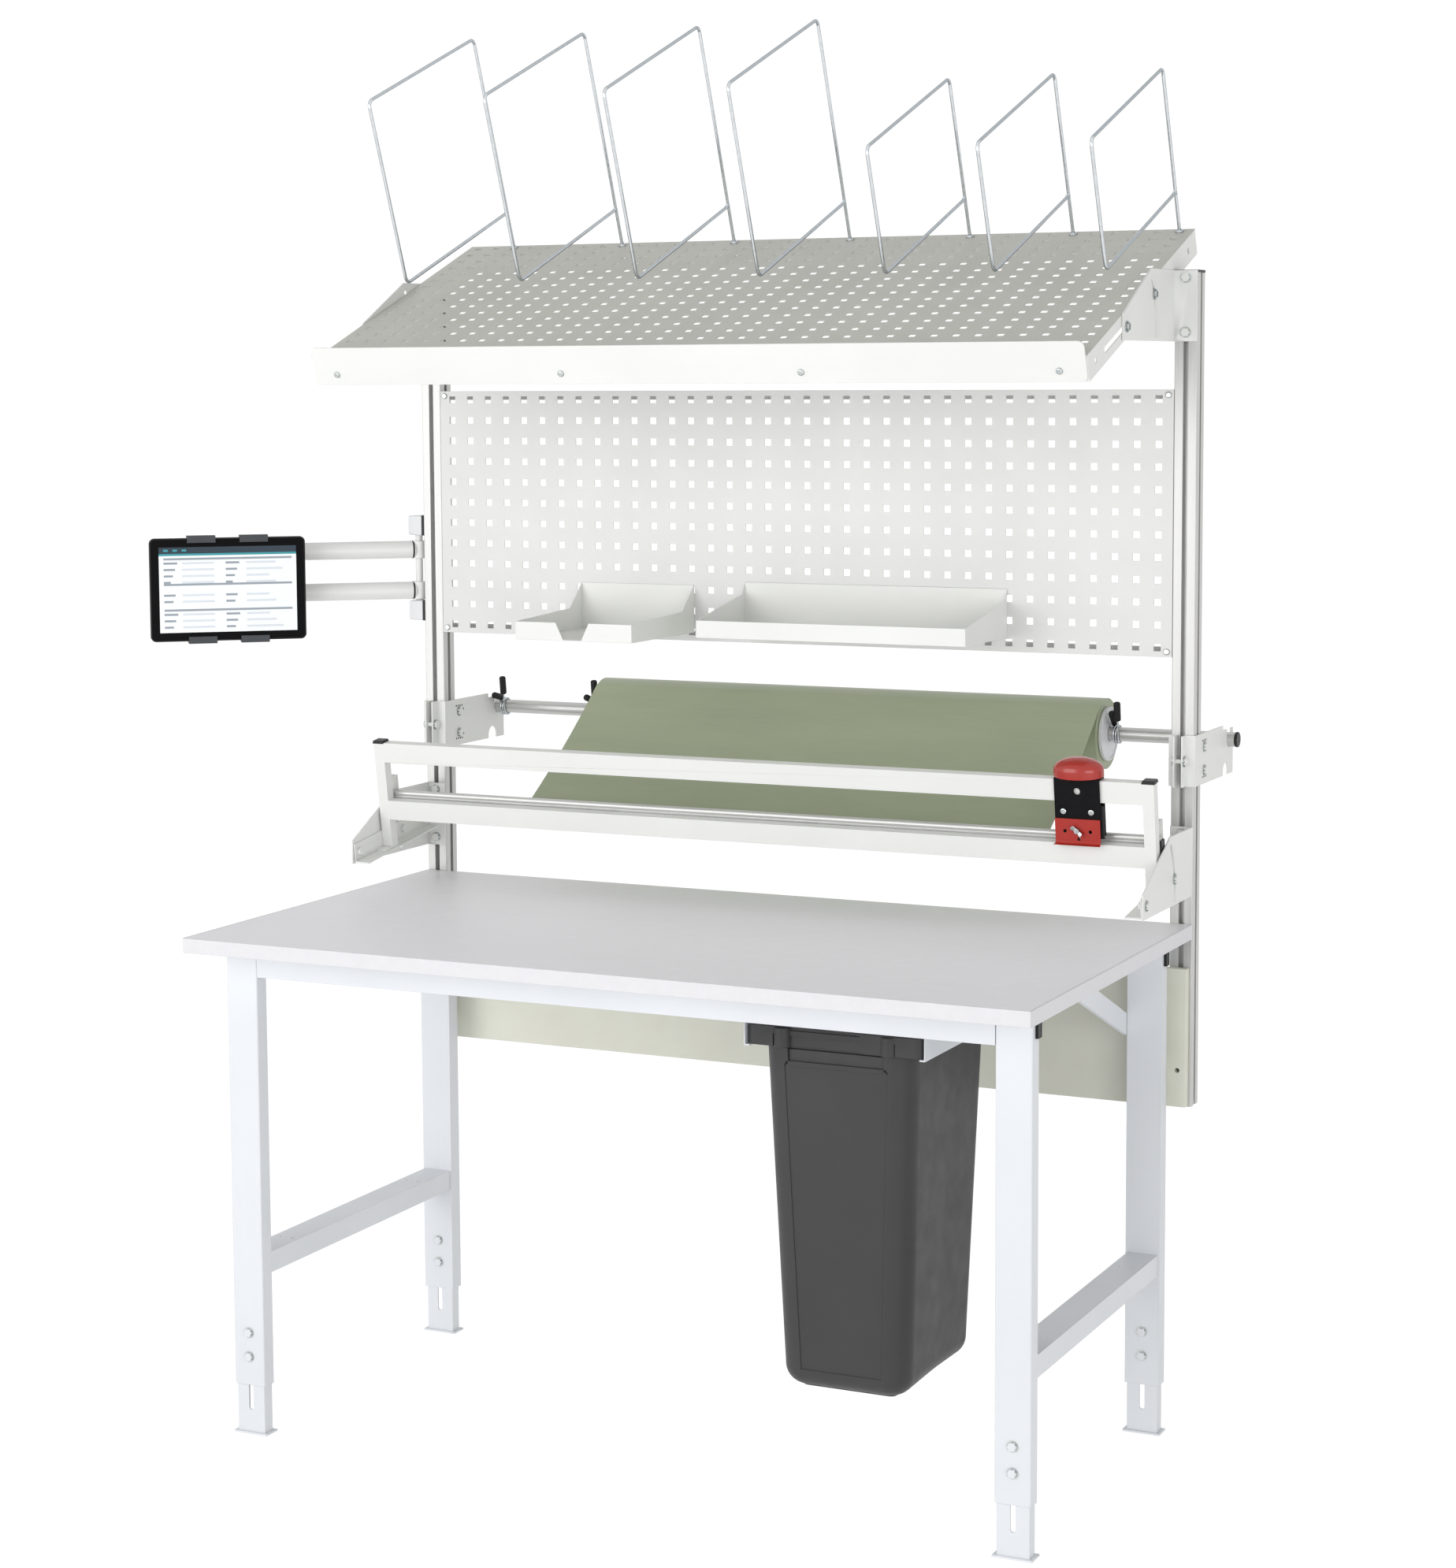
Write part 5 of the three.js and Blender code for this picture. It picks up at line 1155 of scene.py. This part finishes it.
class TABLE_OT_roll(Operator):
    """Film roll with wound ends and a cardboard core, its cones and the bar"""

    bl_idname = "packing_table.roll"
    bl_label = "Film roll"

    def execute(self, context):
        low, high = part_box("film_roll")
        centre = (low + high) / 2 / MM
        radius, width = (high.z - low.z) / 2 / MM, (high.x - low.x) / MM

        roll = rod("film_roll_wound", "x", centre, radius, width, 96)
        for sign in (-1, 1):
            pick(roll, lambda co, n: n.x * sign > 0.9)
            inset(1.2)
            for step, out in ((5, -0.7), (5, 0.5), (6, -0.5), (5, 0.4)):
                inset(step)
                slide((sign * out, 0, 0))
            for step, out in ((1.6, -3), (4, -34)):
                inset(step)
                extrude((sign * out, 0, 0))
            leave()
        smooth(painted(roll, "green_film"), 25)
        end = width / 2

        def near(co):
            return math.hypot(co.y - centre.y, co.z - centre.z)

        painted(roll, "film_edges", lambda co, n: abs(co.x - centre.x) > end - 3.2
                and near(co) < radius - 0.8)
        painted(roll, "cardboard", lambda co, n: near(co) < 38.6)
        fitted(roll, "green_film", "roll", "film_roll")

        for side, sign in (("left", -1), ("right", 1)):
            node = f"roll_cone_{side}"
            face = centre.x + sign * (end + 0.3)
            disc = rod(f"{node}_turned", "x", (face + sign * 3, centre.y, centre.z), 48, 6, 72)
            pick(disc, lambda co, n: n.x * sign > 0.9)
            for step, out in ((3.5, -1.6), (24, 1.6), (7.2, -4)):
                inset(step)
                extrude((sign * out, 0, 0))
            leave()
            bevelled(disc, 0.5, 2)
            fitted(smooth(painted(disc, "white_plastic"), 30), "white_plastic", "roll", node)

        low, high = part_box("roll_bar")
        length_mm = (high.x - low.x) / MM
        bar = rod("roll_bar_smooth", "x", (low + high) / 2 / MM, (high.z - low.z) / 2 / MM,
                  length_mm, 64)
        pick(bar, lambda co, n: abs(n.x) > 0.9)
        inset(2)
        leave()
        for sign in (-1, 1):
            pick(bar, lambda co, n: n.x * sign > 0.9 and near(co) < 2)
            extrude((-sign * 30, 0, 0))
            leave()
        pick(bar, lambda co, n: n.y < -0.985 and abs(n.x) < 0.1)
        inset(0.25)
        slide((0, 0.7, 0))
        leave()
        fitted(smooth(painted(bar, "anodised_bar"), 30), "anodised_aluminium", "root",
               "roll_bar")

        low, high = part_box("roll_bar_cap")
        cap = rod("bar_cap_domed", "x", (high.x / MM - 2.5, centre.y, centre.z), 13.5, 5, 48)
        bevelled(cap, 1.8, 4)
        fitted(smooth(painted(cap, "black_plastic"), 40), "black_plastic", "root",
               "roll_bar_cap")
        return {"FINISHED"}


class TABLE_OT_web(Operator):
    """Film web drawn from the roll down to the press bar"""

    bl_idname = "packing_table.web"
    bl_label = "Film web"

    def execute(self, context):
        item = smooth(painted(of_solid("film_web", "film_web_sheet"), "green_film"), 40)
        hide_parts("film_web")
        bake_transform(item)
        return {"FINISHED"}


class TABLE_OT_collars(Operator):
    """Spring collars: three turns of wire round the bar, two legs in black sleeves"""

    bl_idname = "packing_table.collars"
    bl_label = "Spring collars"

    def execute(self, context):
        radius, pitch, turns, legs, wire = 15.6, 3.9, 3, (58, 37), 1.5
        sleeve_radius, sleeve_length, sleeve_round, seat = 6.2, 35, 3.6, 15.5
        bar = middle_of("roll_bar") / MM
        starts, last_angles = (-694.7, -495.8, 544.1), (84, 78, 50)

        def leg_end(at, beyond, leg):
            along = at - beyond
            along.x = 0
            return at + along.normalized() * leg

        for number, (start, last) in enumerate(zip(starts, last_angles), 1):
            first, sweep = math.pi, math.radians(360 * turns + last - 180)
            steps = 24 * turns
            points = []
            for step in range(steps + 1):
                angle = first + sweep * step / steps
                points.append(Vector((start + pitch * turns * (1 - step / steps),
                                      radius * math.cos(angle), radius * math.sin(angle))))
            ends = [leg_end(points[0], points[1], legs[0]),
                    leg_end(points[-1], points[-2], legs[1])]
            whole = [ends[0], *points, ends[1]]
            curve = bpy.data.curves.new("coil", "CURVE")
            curve.dimensions = "3D"
            curve.bevel_depth = wire * MM
            curve.bevel_resolution = 3
            curve.use_fill_caps = True
            spline = curve.splines.new("POLY")
            spline.points.add(len(whole) - 1)
            for point, place in zip(spline.points, whole):
                point.co = (*(place * MM), 1)
            coil = bpy.data.objects.new("coil", curve)
            bpy.context.collection.objects.link(coil)
            only(coil)
            bpy.ops.object.convert(target="MESH")
            coil = bpy.context.active_object
            painted(coil, "spring_steel")
            parts = [coil]
            for inner, outer in ((points[0], ends[0]), (points[-1], ends[1])):
                direction = (outer - inner).normalized()
                sleeve = rod("sleeve", "z", (0, 0, 0), sleeve_radius, sleeve_length, 24)
                bevelled(sleeve, sleeve_round, 5, 60)
                painted(sleeve, "grip_rubber")
                turn = Vector((0, 0, 1)).rotation_difference(direction).to_matrix().to_4x4()
                centre = outer - direction * seat
                moved(sleeve, Matrix.Translation(centre * MM) @ turn)
                parts.append(sleeve)
            item = joined(f"collar_{number}_wound", parts)
            moved(item, Matrix.Translation((TABLE.x, bar.y * MM, bar.z * MM)))
            smooth(item, 50)
            fitted(item, "spring_steel", "root", f"spring_collar_{number}")
        return {"FINISHED"}


class TABLE_OT_cutter(Operator):
    """The carriage with its domed grip and blade plate, and the beaded press bar"""

    bl_idname = "packing_table.cutter"
    bl_label = "Cutter"

    def execute(self, context):
        carriage = of_solid("cutter_carriage", "carriage_plate")
        moved(carriage, ON_CUTTER.inverted())
        plate_rear, plate_low, limit = 79.5, 116, 118
        pick(carriage, lambda co, n: co.y < plate_rear and co.z < limit, "VERT")
        resize((1, 1, 0))
        leave()
        pick(carriage, lambda co, n: co.y < plate_rear and co.z < limit, "VERT")
        level = min(point.co.z for point in carriage.data.vertices
                    if point.co.y < plate_rear * MM)
        bpy.ops.transform.translate(value=(0, 0, plate_low * MM - level))
        leave()
        moved(carriage, ON_CUTTER)
        eased(carriage, 0.6, 12)
        painted(carriage, "black_coat")
        fitted(carriage, "black_plastic", "carriage", "cutter_carriage")

        base, collar, dome, half_width, half_depth, grip_y = 187.1, 12, 21, 43, 30, 90
        grip = rod("grip_domed", "z", (0, 0, base + collar / 2), half_depth, collar, 72)
        pick(grip, lambda co, n: n.z > 0.9)
        steps = 12
        for step in range(1, steps):
            before, now = (math.radians(90 * place / steps) for place in (step - 1, step))
            extrude((0, 0, dome * (math.sin(now) - math.sin(before))))
            resize((math.cos(now) / math.cos(before),) * 2 + (1,))
        leave()
        bevelled(grip, 1.6, 3, 50)
        moved(grip, Matrix.Translation((CARRIAGE_X * MM, grip_y * MM, 0)) @ Matrix.Diagonal(
            (half_width / half_depth, 1, 1, 1)))
        fitted(moved(smooth(painted(grip, "red_plastic"), 45), ON_CUTTER), "red_plastic",
               "carriage", "carriage_grip")

        low, top, front, back = 76, 118, 72.4, 75.2
        half, bend, nut_z = 39, 3, 99
        plate = block("blade_plate_bent", (CARRIAGE_X - half, front, low + bend),
                      (CARRIAGE_X + half, back, top))
        pick(plate, lambda co, n: n.z < -0.9)
        extrude((0, -2, -2.6))
        extrude((0, -7, -1.4))
        resize((1.04, 1, 1))
        leave()
        # The hole tools carry the painted hollow shade onto the walls of the holes.
        tools = [painted(rod("tool", "y", (CARRIAGE_X + x, front + 1.6, z), 3, 12, 24),
                         "hollow_shade") for x, z in ((-22, 97), (22, 97), (2, 84))]
        bevelled(plate, 0.4, 2)
        carved(painted(plate, "red_paint"), *tools)
        smooth(plate, 40)
        stud = rod("stud", "y", (CARRIAGE_X, front - 3.4, nut_z), 4.6, 8, 24)
        nut = [painted(bevelled(stud, 0.6, 2), "zinc")]
        for sign in (-1, 1):
            middle = CARRIAGE_X + sign * 3.5
            wing = block("wing", (middle - 1.4, front - 6.4, nut_z - 3),
                         (middle + 1.4, front - 2.4, nut_z + 3))
            pick(wing, lambda co, n: n.x * sign > 0.9)
            extrude((sign * 3, -1.4, 0))
            resize((1, 1, 1.35))
            extrude((sign * 3.2, -1.4, 0))
            resize((1, 1, 0.75))
            leave()
            nut.append(painted(bevelled(wing, 1.0, 3), "zinc"))
        wings = joined("wing_nut", [smooth(part, 40) for part in nut])
        about, wing_turn = (CARRIAGE_X * MM, 0, nut_z * MM), 40
        moved(wings, axes_at(about, wing_turn, "Y") @ axes_at(about).inverted())
        blade = block("blade", (603, 78.2, 70), (621, 79.1, 100))
        smooth(painted(bevelled(blade, 0.3, 2), "spring_steel"))
        guard = block("blade_guard", (646, 79, 84), (656, 84, 140))
        bevelled(guard, 1.5, 3)
        smooth(painted(guard, "black_plastic"))
        item = joined("blade_plate_dressed", [plate, wings, blade, guard])
        fitted(moved(item, ON_CUTTER), "red_paint", "carriage", "blade_plate")

        half, bar_front, bar_rear, low, top = 743.4, 103, 117, 50, 78
        bar = block("press_bar_beaded", (-half, bar_front, low), (half, bar_rear, top))
        bevelled(bar, 1.0, 3)
        bead = rod("bead", "x", (0, (bar_front + bar_rear) / 2, top + 3), 6, 2 * half, 32)
        bevelled(bead, 0.8, 2)
        parts = [painted(bar, "anodised_bar"), painted(bead, "anodised_bar")]
        for sign in (-1, 1):
            left, right = across(sign, half - 0.1, half + 2.9)
            plug = block("plug", (left, bar_front - 2.4, low - 3), (right, bar_rear + 2, top + 2))
            bevelled(plug, 0.7, 2)
            parts.append(painted(plug, "black_plastic"))
        item = joined("press_bar_dressed", [smooth(part, 35) for part in parts])
        fitted(moved(item, ON_CUTTER), "anodised_aluminium", "press_bar", "press_bar")
        return {"FINISHED"}


class TABLE_OT_arm(Operator):
    """Tablet arm: two smooth tubes on a post, and the clamp blocks on the upright"""

    bl_idname = "packing_table.arm"
    bl_label = "Swing arm"

    def execute(self, context):
        parts = []
        middle, radius, length_mm = -191.5, 16.4, 367
        for z in ARM_TUBES:
            tube = rod("tube", "x", (middle, 0, z), radius, length_mm, 48)
            bevelled(tube, 1.0, 3, 50)
            eye = rod("eye", "z", (0, 0, z), 14, 33, 40)
            bevelled(eye, 1.5, 3, 50)
            # A dark ring where the tube meets its eye, painted as shade in the crevice.
            ring = rod("ring", "x", (-12, 0, z), radius + 0.5, 3.4, 48)
            parts.append(smooth(painted(bevelled(ring, 0.5, 2), "hollow_shade")))
            parts += [smooth(painted(tube, "silver_coat"), 40),
                      smooth(painted(eye, "silver_coat"), 40)]
        cheek = block("cheek", (-375, -19, ARM_TUBES[0]), (-355, 0, ARM_TUBES[1]))
        nose = block("nose", (-375, -34, 1429.5), (-355, -18, 1445.5))
        pin = rod("pin", "x", (-365, -30, 1437.5), 4, 44, 24)
        for part, width in ((cheek, 2.0), (nose, 2.0), (pin, 0.6)):
            parts.append(smooth(painted(bevelled(part, width), "silver_coat")))
        arm = joined("swing_arm_tubes", parts)
        fitted(moved(arm, ON_ARM), "anodised_aluminium", "swing_arm", "swing_arm")

        face, front, rear, height = -UPRIGHT_X - UPRIGHT_HALF, 402.3, 438.3, 38
        strip_depth, clamp_depth, seat = 6, 36, 0.5
        parts = []
        for low in (1343, 1503):
            # A dark strip between the clamp and the upright, painted as shade in the gap.
            strip = block("strip", (face - strip_depth, front, low), (face, rear, low + height))
            parts.append(smooth(painted(bevelled(strip, 1.2), "hollow_shade")))
            clamp = block("clamp", (face - clamp_depth, front, low),
                          (face - strip_depth + seat, rear, low + height))
            pick(clamp, lambda co, n: n.x < -0.9)
            resize((1, 0.92, 0.94))
            leave()
            parts.append(smooth(painted(bevelled(clamp, 3.0, 4), "white_plastic")))
        post = rod("post", "z", (face - 22, (front + rear) / 2, 1442), 7, 160, 32)
        parts.append(smooth(painted(post, "silver_coat")))
        bracket = joined("arm_bracket_dressed", parts)
        fitted(moved(bracket, ON_TABLE), "painted_steel", "root", "arm_bracket")
        return {"FINISHED"}


class TABLE_OT_tablet(Operator):
    """Tablet with a dark glass border and a plain form on its screen, held by two jaws"""

    bl_idname = "packing_table.tablet"
    bl_label = "Tablet"

    def screen(self):
        """A grid whose cells are coloured as a header, headings, fields and rules."""
        columns, rows, width, height = 60, 40, 251, 157
        deselect()
        bpy.ops.mesh.primitive_grid_add(x_subdivisions=columns, y_subdivisions=rows, size=1)
        bpy.context.active_object.scale = (width * MM, height * MM, 1)
        item = settled("screen")
        painted(item, "screen_paper")

        def cell(co):
            return (int((co.x + width / 2) * columns / width),
                    int((height / 2 - co.y) * rows / height))

        def header(co, _):
            return cell(co)[1] < 3

        def accent(co, _):
            column, row = cell(co)
            return row == 3 or (row == 1 and column in (2, 3, 6, 7, 10, 11))

        def field(co, _):
            column, row = cell(co)
            return row > 5 and row % 3 == 1 and row not in (19, 28) and (
                10 <= column < 24 or 38 <= column < 47 + (row * 7) % 9)

        def rule(co, _):
            column, row = cell(co)
            if row in (5, 17, 29):
                return 2 <= column < 58
            return row > 5 and row % 3 == 1 and row not in (19, 28) and (
                2 <= column < 5 + row % 4 or 29 <= column < 32 + (row * 5) % 4)

        for name, test in (("screen_dark", header), ("screen_accent", accent),
                           ("screen_field", field), ("screen_line", rule)):
            painted(item, name, test)
        return item

    def execute(self, context):
        left, right, front, rear, low, top = -507.5, -222.5, -62, -50, 1318, 1508
        glass = 0.35
        body = block("slab", (left, front, low), (right, rear, top))
        pick(body, lambda co, d: abs(d.y) > 11, "EDGE")
        round_off(10, 8)
        leave()
        bevelled(body, 1.4, 3, 60)
        pick(body, lambda co, n: n.y < -0.99 and abs(co.y - front) < 0.1)
        inset(1.0)
        extrude((0, glass, 0))
        leave()
        smooth(painted(body, "black_plastic"), 40)
        painted(body, "bezel", lambda co, n: n.y < -0.99 and abs(co.y - front - glass) < 0.1)
        middle = Vector(((left + right) / 2, front + glass - 0.1, (low + top) / 2))
        screen = moved(self.screen(), axes_at(middle * MM, 90))
        tablet = joined("tablet_dressed", [body, screen])
        fitted(moved(tablet, ON_ARM), "black_plastic", "holder", "tablet")
        for node, body_name in (("tablet_holder", "holder"), ("holder_jaw", "jaw")):
            item = eased(of_solid(node, f"{node}_rounded"), 0.9, 8)
            fitted(painted(item, "jaw_plastic"), "jaw_plastic", body_name, node)
        return {"FINISHED"}


class TABLE_OT_bin(Operator):
    """Waste bin: a tapered shell with a recessed front, a deep rim and corner knuckles"""

    bl_idname = "packing_table.bin"
    bl_label = "Waste bin"

    def execute(self, context):
        x, front, rear, low, top = 350, -200, 145, 172, 762
        half_top, half_low, depth_low, fold_y, fold, pinch = 132, 110, 300, -15, 22, 4
        corner, edge, band_z, wall = 40, 31, 706, 3
        shell = block("shell", (x - half_top, front, low), (x + half_top, rear, top))
        pick(shell, lambda co, n: n.z < -0.9)
        resize((half_low / half_top, depth_low / (rear - front), 1))
        leave()
        self.split(shell, "y", fold_y)
        pick(shell, lambda co, d: abs(co.z - low) < 1 and abs(co.y - fold_y) < 1, "EDGE")
        bpy.ops.mesh.dissolve_edges(use_verts=False)
        leave()
        for sign in (-1, 1):
            pick(shell, lambda co, d: abs(co.y - fold_y) < 0.5 and (co.x - x) * sign > 90,
                 "EDGE")
            slide((-sign * pinch, 0, 0))
            round_off(fold, 6)
            leave()
        taper = (rear - front - depth_low) / 4
        pick(shell, lambda co, d: abs(d.z) > 300 and min(
            abs(co.y - front - taper), abs(co.y - rear + taper)) < 3.2, "EDGE")
        round_off(corner, 10)
        leave()
        pick(shell, lambda co, n: n.z < -0.9)
        round_off(edge, 8)
        leave()
        pick(shell, lambda co, n: n.z < -0.99 and abs(co.z - low) < 0.5)
        inset(3)
        extrude((0, 0, -2.8))
        leave()
        pick(shell, lambda co, n: n.z > 0.9)
        bpy.ops.mesh.delete(type="FACE")
        leave()
        self.split(shell, "z", band_z)
        near = 90
        for height, margin, push in ((500, 1.2, 1.4), (735, 8, 5)):
            pick(shell, lambda co, n: n.y < -0.98 and abs(co.x - x) < 30
                 and abs(co.z - height) < near)
            inset(margin)
            extrude((0, push, 0))
            leave()
        applied(shell, "SOLIDIFY", thickness=wall * MM, offset=-1.0)
        smooth(shell, 32)

        top, side, out, deep, round_corner, pull = 769, 152, 6, 33, 14, 9
        rim = block("rim", (x - side, front - out, top - deep), (x + side, rear + out, top))
        pick(rim, lambda co, d: abs(d.z) > 20, "EDGE")
        round_off(round_corner, 6)
        leave()
        pick(rim, lambda co, n: abs(n.z) > 0.9)
        bpy.ops.mesh.delete(type="FACE")
        leave()
        for place in (-104, -90, 38, 54):
            self.split(rim, "x", x + place)
        pick(rim, lambda co, n: n.y < -0.9 and -92 < co.x - x < 40)
        slide((0, pull, 0))
        leave()
        applied(rim, "SOLIDIFY", thickness=4 * MM, offset=-1.0)
        bevelled(rim, 1.4, 3, 50)
        smooth(rim, 50)

        lip = block("lip", (x - side + 2, front - out + pull + 0.5, top - 6),
                    (x + side - 2, rear + out - 2, top - 3))
        pick(lip, lambda co, n: abs(n.z) > 0.9)
        inset(26)
        bpy.ops.mesh.bridge_edge_loops()
        leave()
        parts = [shell, rim, smooth(lip, 30)]
        knuckle_x, slit_x, slit_half = 92, 104, 1.2
        for sign in (-1, 1):
            knuckle = rod("knuckle", "z", (x + sign * knuckle_x, front + 4, top - 18), 15, 32, 32)
            bevelled(knuckle, 2.0, 3, 50)
            middle = x + sign * slit_x
            slit = block("slit", (middle - slit_half, front - 30, top - 40),
                         (middle + slit_half, front + 4, top - 12))
            parts.append(smooth(knuckle, 35))
            carved(rim, slit)
        for part in parts:
            painted(part, "bin_plastic")
        item = joined("waste_bin_moulded", parts)
        fitted(moved(item, ON_TABLE), "bin_plastic", "waste_bin", "waste_bin")
        return {"FINISHED"}

    @staticmethod
    def split(item, axis, place):
        """Adds a ring of edges where a plane across an axis meets the piece."""
        opened(item, "VERT")
        point = [place * MM if name == axis else 0.0 for name in "xyz"]
        normal = [1.0 if name == axis else 0.0 for name in "xyz"]
        bpy.ops.mesh.bisect(plane_co=point, plane_no=normal)
        leave()


# Stage, in metres: each lamp's name, place, size and share of the power.

LAMPS = (("main lamp", (-2.2, -4.9, 1.9), 4.4, 1.0), ("fill lamp", (4.0, -3.8, 1.0), 3.0, 0.55))
LAMP_AIM = (0.1, 0.0, 1.0)
SKY_EVEN_ABOVE = 0.75
SKY_SEEN = 1.04
FLOOR_SIZE = 60
FLOOR_COLOUR = (0.9, 0.9, 0.9, 1)
FLOOR_GLOW = 1.14
GLOW_SEEN = 0.86
GLOW_OTHERWISE = 0.3


class TABLE_OT_stage(Operator):
    """Camera at the photograph's view, even soft light and a white floor"""

    bl_idname = "packing_table.stage"
    bl_label = "Stage"

    def execute(self, context):
        stage = settings()[2]
        camera = bpy.data.cameras.new("camera")
        camera.lens = stage.lens
        camera.sensor_width = 36
        camera.shift_y = stage.rise
        camera.clip_end = 100
        holder = bpy.data.objects.new("camera", camera)
        holder.location = TABLE + Vector(stage.camera_place)
        holder.rotation_euler = Euler(stage.camera_turn)
        context.collection.objects.link(holder)
        context.scene.camera = holder
        context.scene.view_settings.view_transform = "Standard"

        for name, place, size, share in LAMPS:
            lamp = bpy.data.lights.new(name, "AREA")
            lamp.energy = stage.lamp * share
            lamp.size = size
            light = bpy.data.objects.new(name, lamp)
            light.location = place
            aim = Vector(LAMP_AIM) - Vector(place)
            light.rotation_euler = aim.to_track_quat("-Z", "Y").to_euler()
            context.collection.objects.link(light)

        world = bpy.data.worlds.new("even sky")
        context.scene.world = world
        world.use_nodes = True
        nodes, links = world.node_tree.nodes, world.node_tree.links
        background = nodes["Background"]
        background.inputs["Color"].default_value = (1, 1, 1, 1)
        way = nodes.new("ShaderNodeSeparateXYZ")
        links.new(nodes.new("ShaderNodeTexCoord").outputs["Generated"], way.inputs[0])
        height = nodes.new("ShaderNodeMapRange")
        links.new(way.outputs["Z"], height.inputs["Value"])
        height.inputs["From Max"].default_value = SKY_EVEN_ABOVE
        height.inputs["To Min"].default_value = stage.sky
        height.inputs["To Max"].default_value = stage.sky * stage.overhead
        strength = self.seen_white(nodes, links, height.outputs["Result"], SKY_SEEN)
        links.new(strength, background.inputs["Strength"])

        deselect()
        bpy.ops.mesh.primitive_plane_add(size=FLOOR_SIZE)
        floor = settled("floor")
        material = bpy.data.materials.new("white floor")
        material.use_nodes = True
        nodes, links = material.node_tree.nodes, material.node_tree.links
        nodes.clear()
        output = nodes.new("ShaderNodeOutputMaterial")
        ground = nodes.new("ShaderNodeBsdfDiffuse")
        ground.inputs["Color"].default_value = FLOOR_COLOUR
        glow = nodes.new("ShaderNodeEmission")
        mix = nodes.new("ShaderNodeMixShader")
        glow.inputs["Strength"].default_value = FLOOR_GLOW
        share = self.seen_white(nodes, links, GLOW_OTHERWISE, GLOW_SEEN)
        links.new(share, mix.inputs[0])
        links.new(ground.outputs[0], mix.inputs[1])
        links.new(glow.outputs[0], mix.inputs[2])
        links.new(mix.outputs[0], output.inputs["Surface"])
        floor.data.materials.append(material)
        return {"FINISHED"}

    @staticmethod
    def seen_white(nodes, links, otherwise, seen=1.0):
        """A value that is `seen` for camera, glossy and transmitted rays."""
        path = nodes.new("ShaderNodeLightPath")
        total = path.outputs["Is Camera Ray"]
        for name in ("Is Glossy Ray", "Is Transmission Ray"):
            largest = nodes.new("ShaderNodeMath")
            largest.operation = "MAXIMUM"
            links.new(total, largest.inputs[0])
            links.new(path.outputs[name], largest.inputs[1])
            total = largest.outputs[0]
        spread = nodes.new("ShaderNodeMapRange")
        links.new(total, spread.inputs["Value"])
        if isinstance(otherwise, float):
            spread.inputs["To Min"].default_value = otherwise
        else:
            links.new(otherwise, spread.inputs["To Min"])
        spread.inputs["To Max"].default_value = seen
        return spread.outputs["Result"]


class TABLE_PT_panel(Panel):
    """Lists the pieces and their settings"""

    bl_label = "Packing table"
    bl_space_type = "VIEW_3D"
    bl_region_type = "UI"
    bl_category = "Packing table"

    def draw(self, context):
        for operator in OPERATORS:
            self.layout.operator(operator.bl_idname)
        for group in GROUPS:
            settings_of = getattr(context.scene, group)
            for key in GROUPS[group].__annotations__:
                self.layout.prop(settings_of, key)


OPERATORS = (
    TABLE_OT_solids, TABLE_OT_steel, TABLE_OT_panel, TABLE_OT_shelf, TABLE_OT_dividers,
    TABLE_OT_fasteners, TABLE_OT_caps, TABLE_OT_roll, TABLE_OT_web, TABLE_OT_collars,
    TABLE_OT_cutter, TABLE_OT_arm, TABLE_OT_tablet, TABLE_OT_bin, TABLE_OT_stage,
)
GROUPS = {
    "table_colours": TableColours, "table_sheets": SheetSizes, "table_fittings": FittingSizes,
    "table_stage": StageSizes,
}


def register():
    for group, kind in GROUPS.items():
        bpy.utils.register_class(kind)
        setattr(bpy.types.Scene, group, PointerProperty(type=kind))
    for kind in (*OPERATORS, TABLE_PT_panel):
        bpy.utils.register_class(kind)


def unregister():
    for kind in (TABLE_PT_panel, *reversed(OPERATORS)):
        bpy.utils.unregister_class(kind)
    for group, kind in reversed(GROUPS.items()):
        delattr(bpy.types.Scene, group)
        bpy.utils.unregister_class(kind)


def main():
    register()
    for operator in OPERATORS:
        group, name = operator.bl_idname.split(".")
        getattr(getattr(bpy.ops, group), name)()


if __name__ == "__main__":
    main()
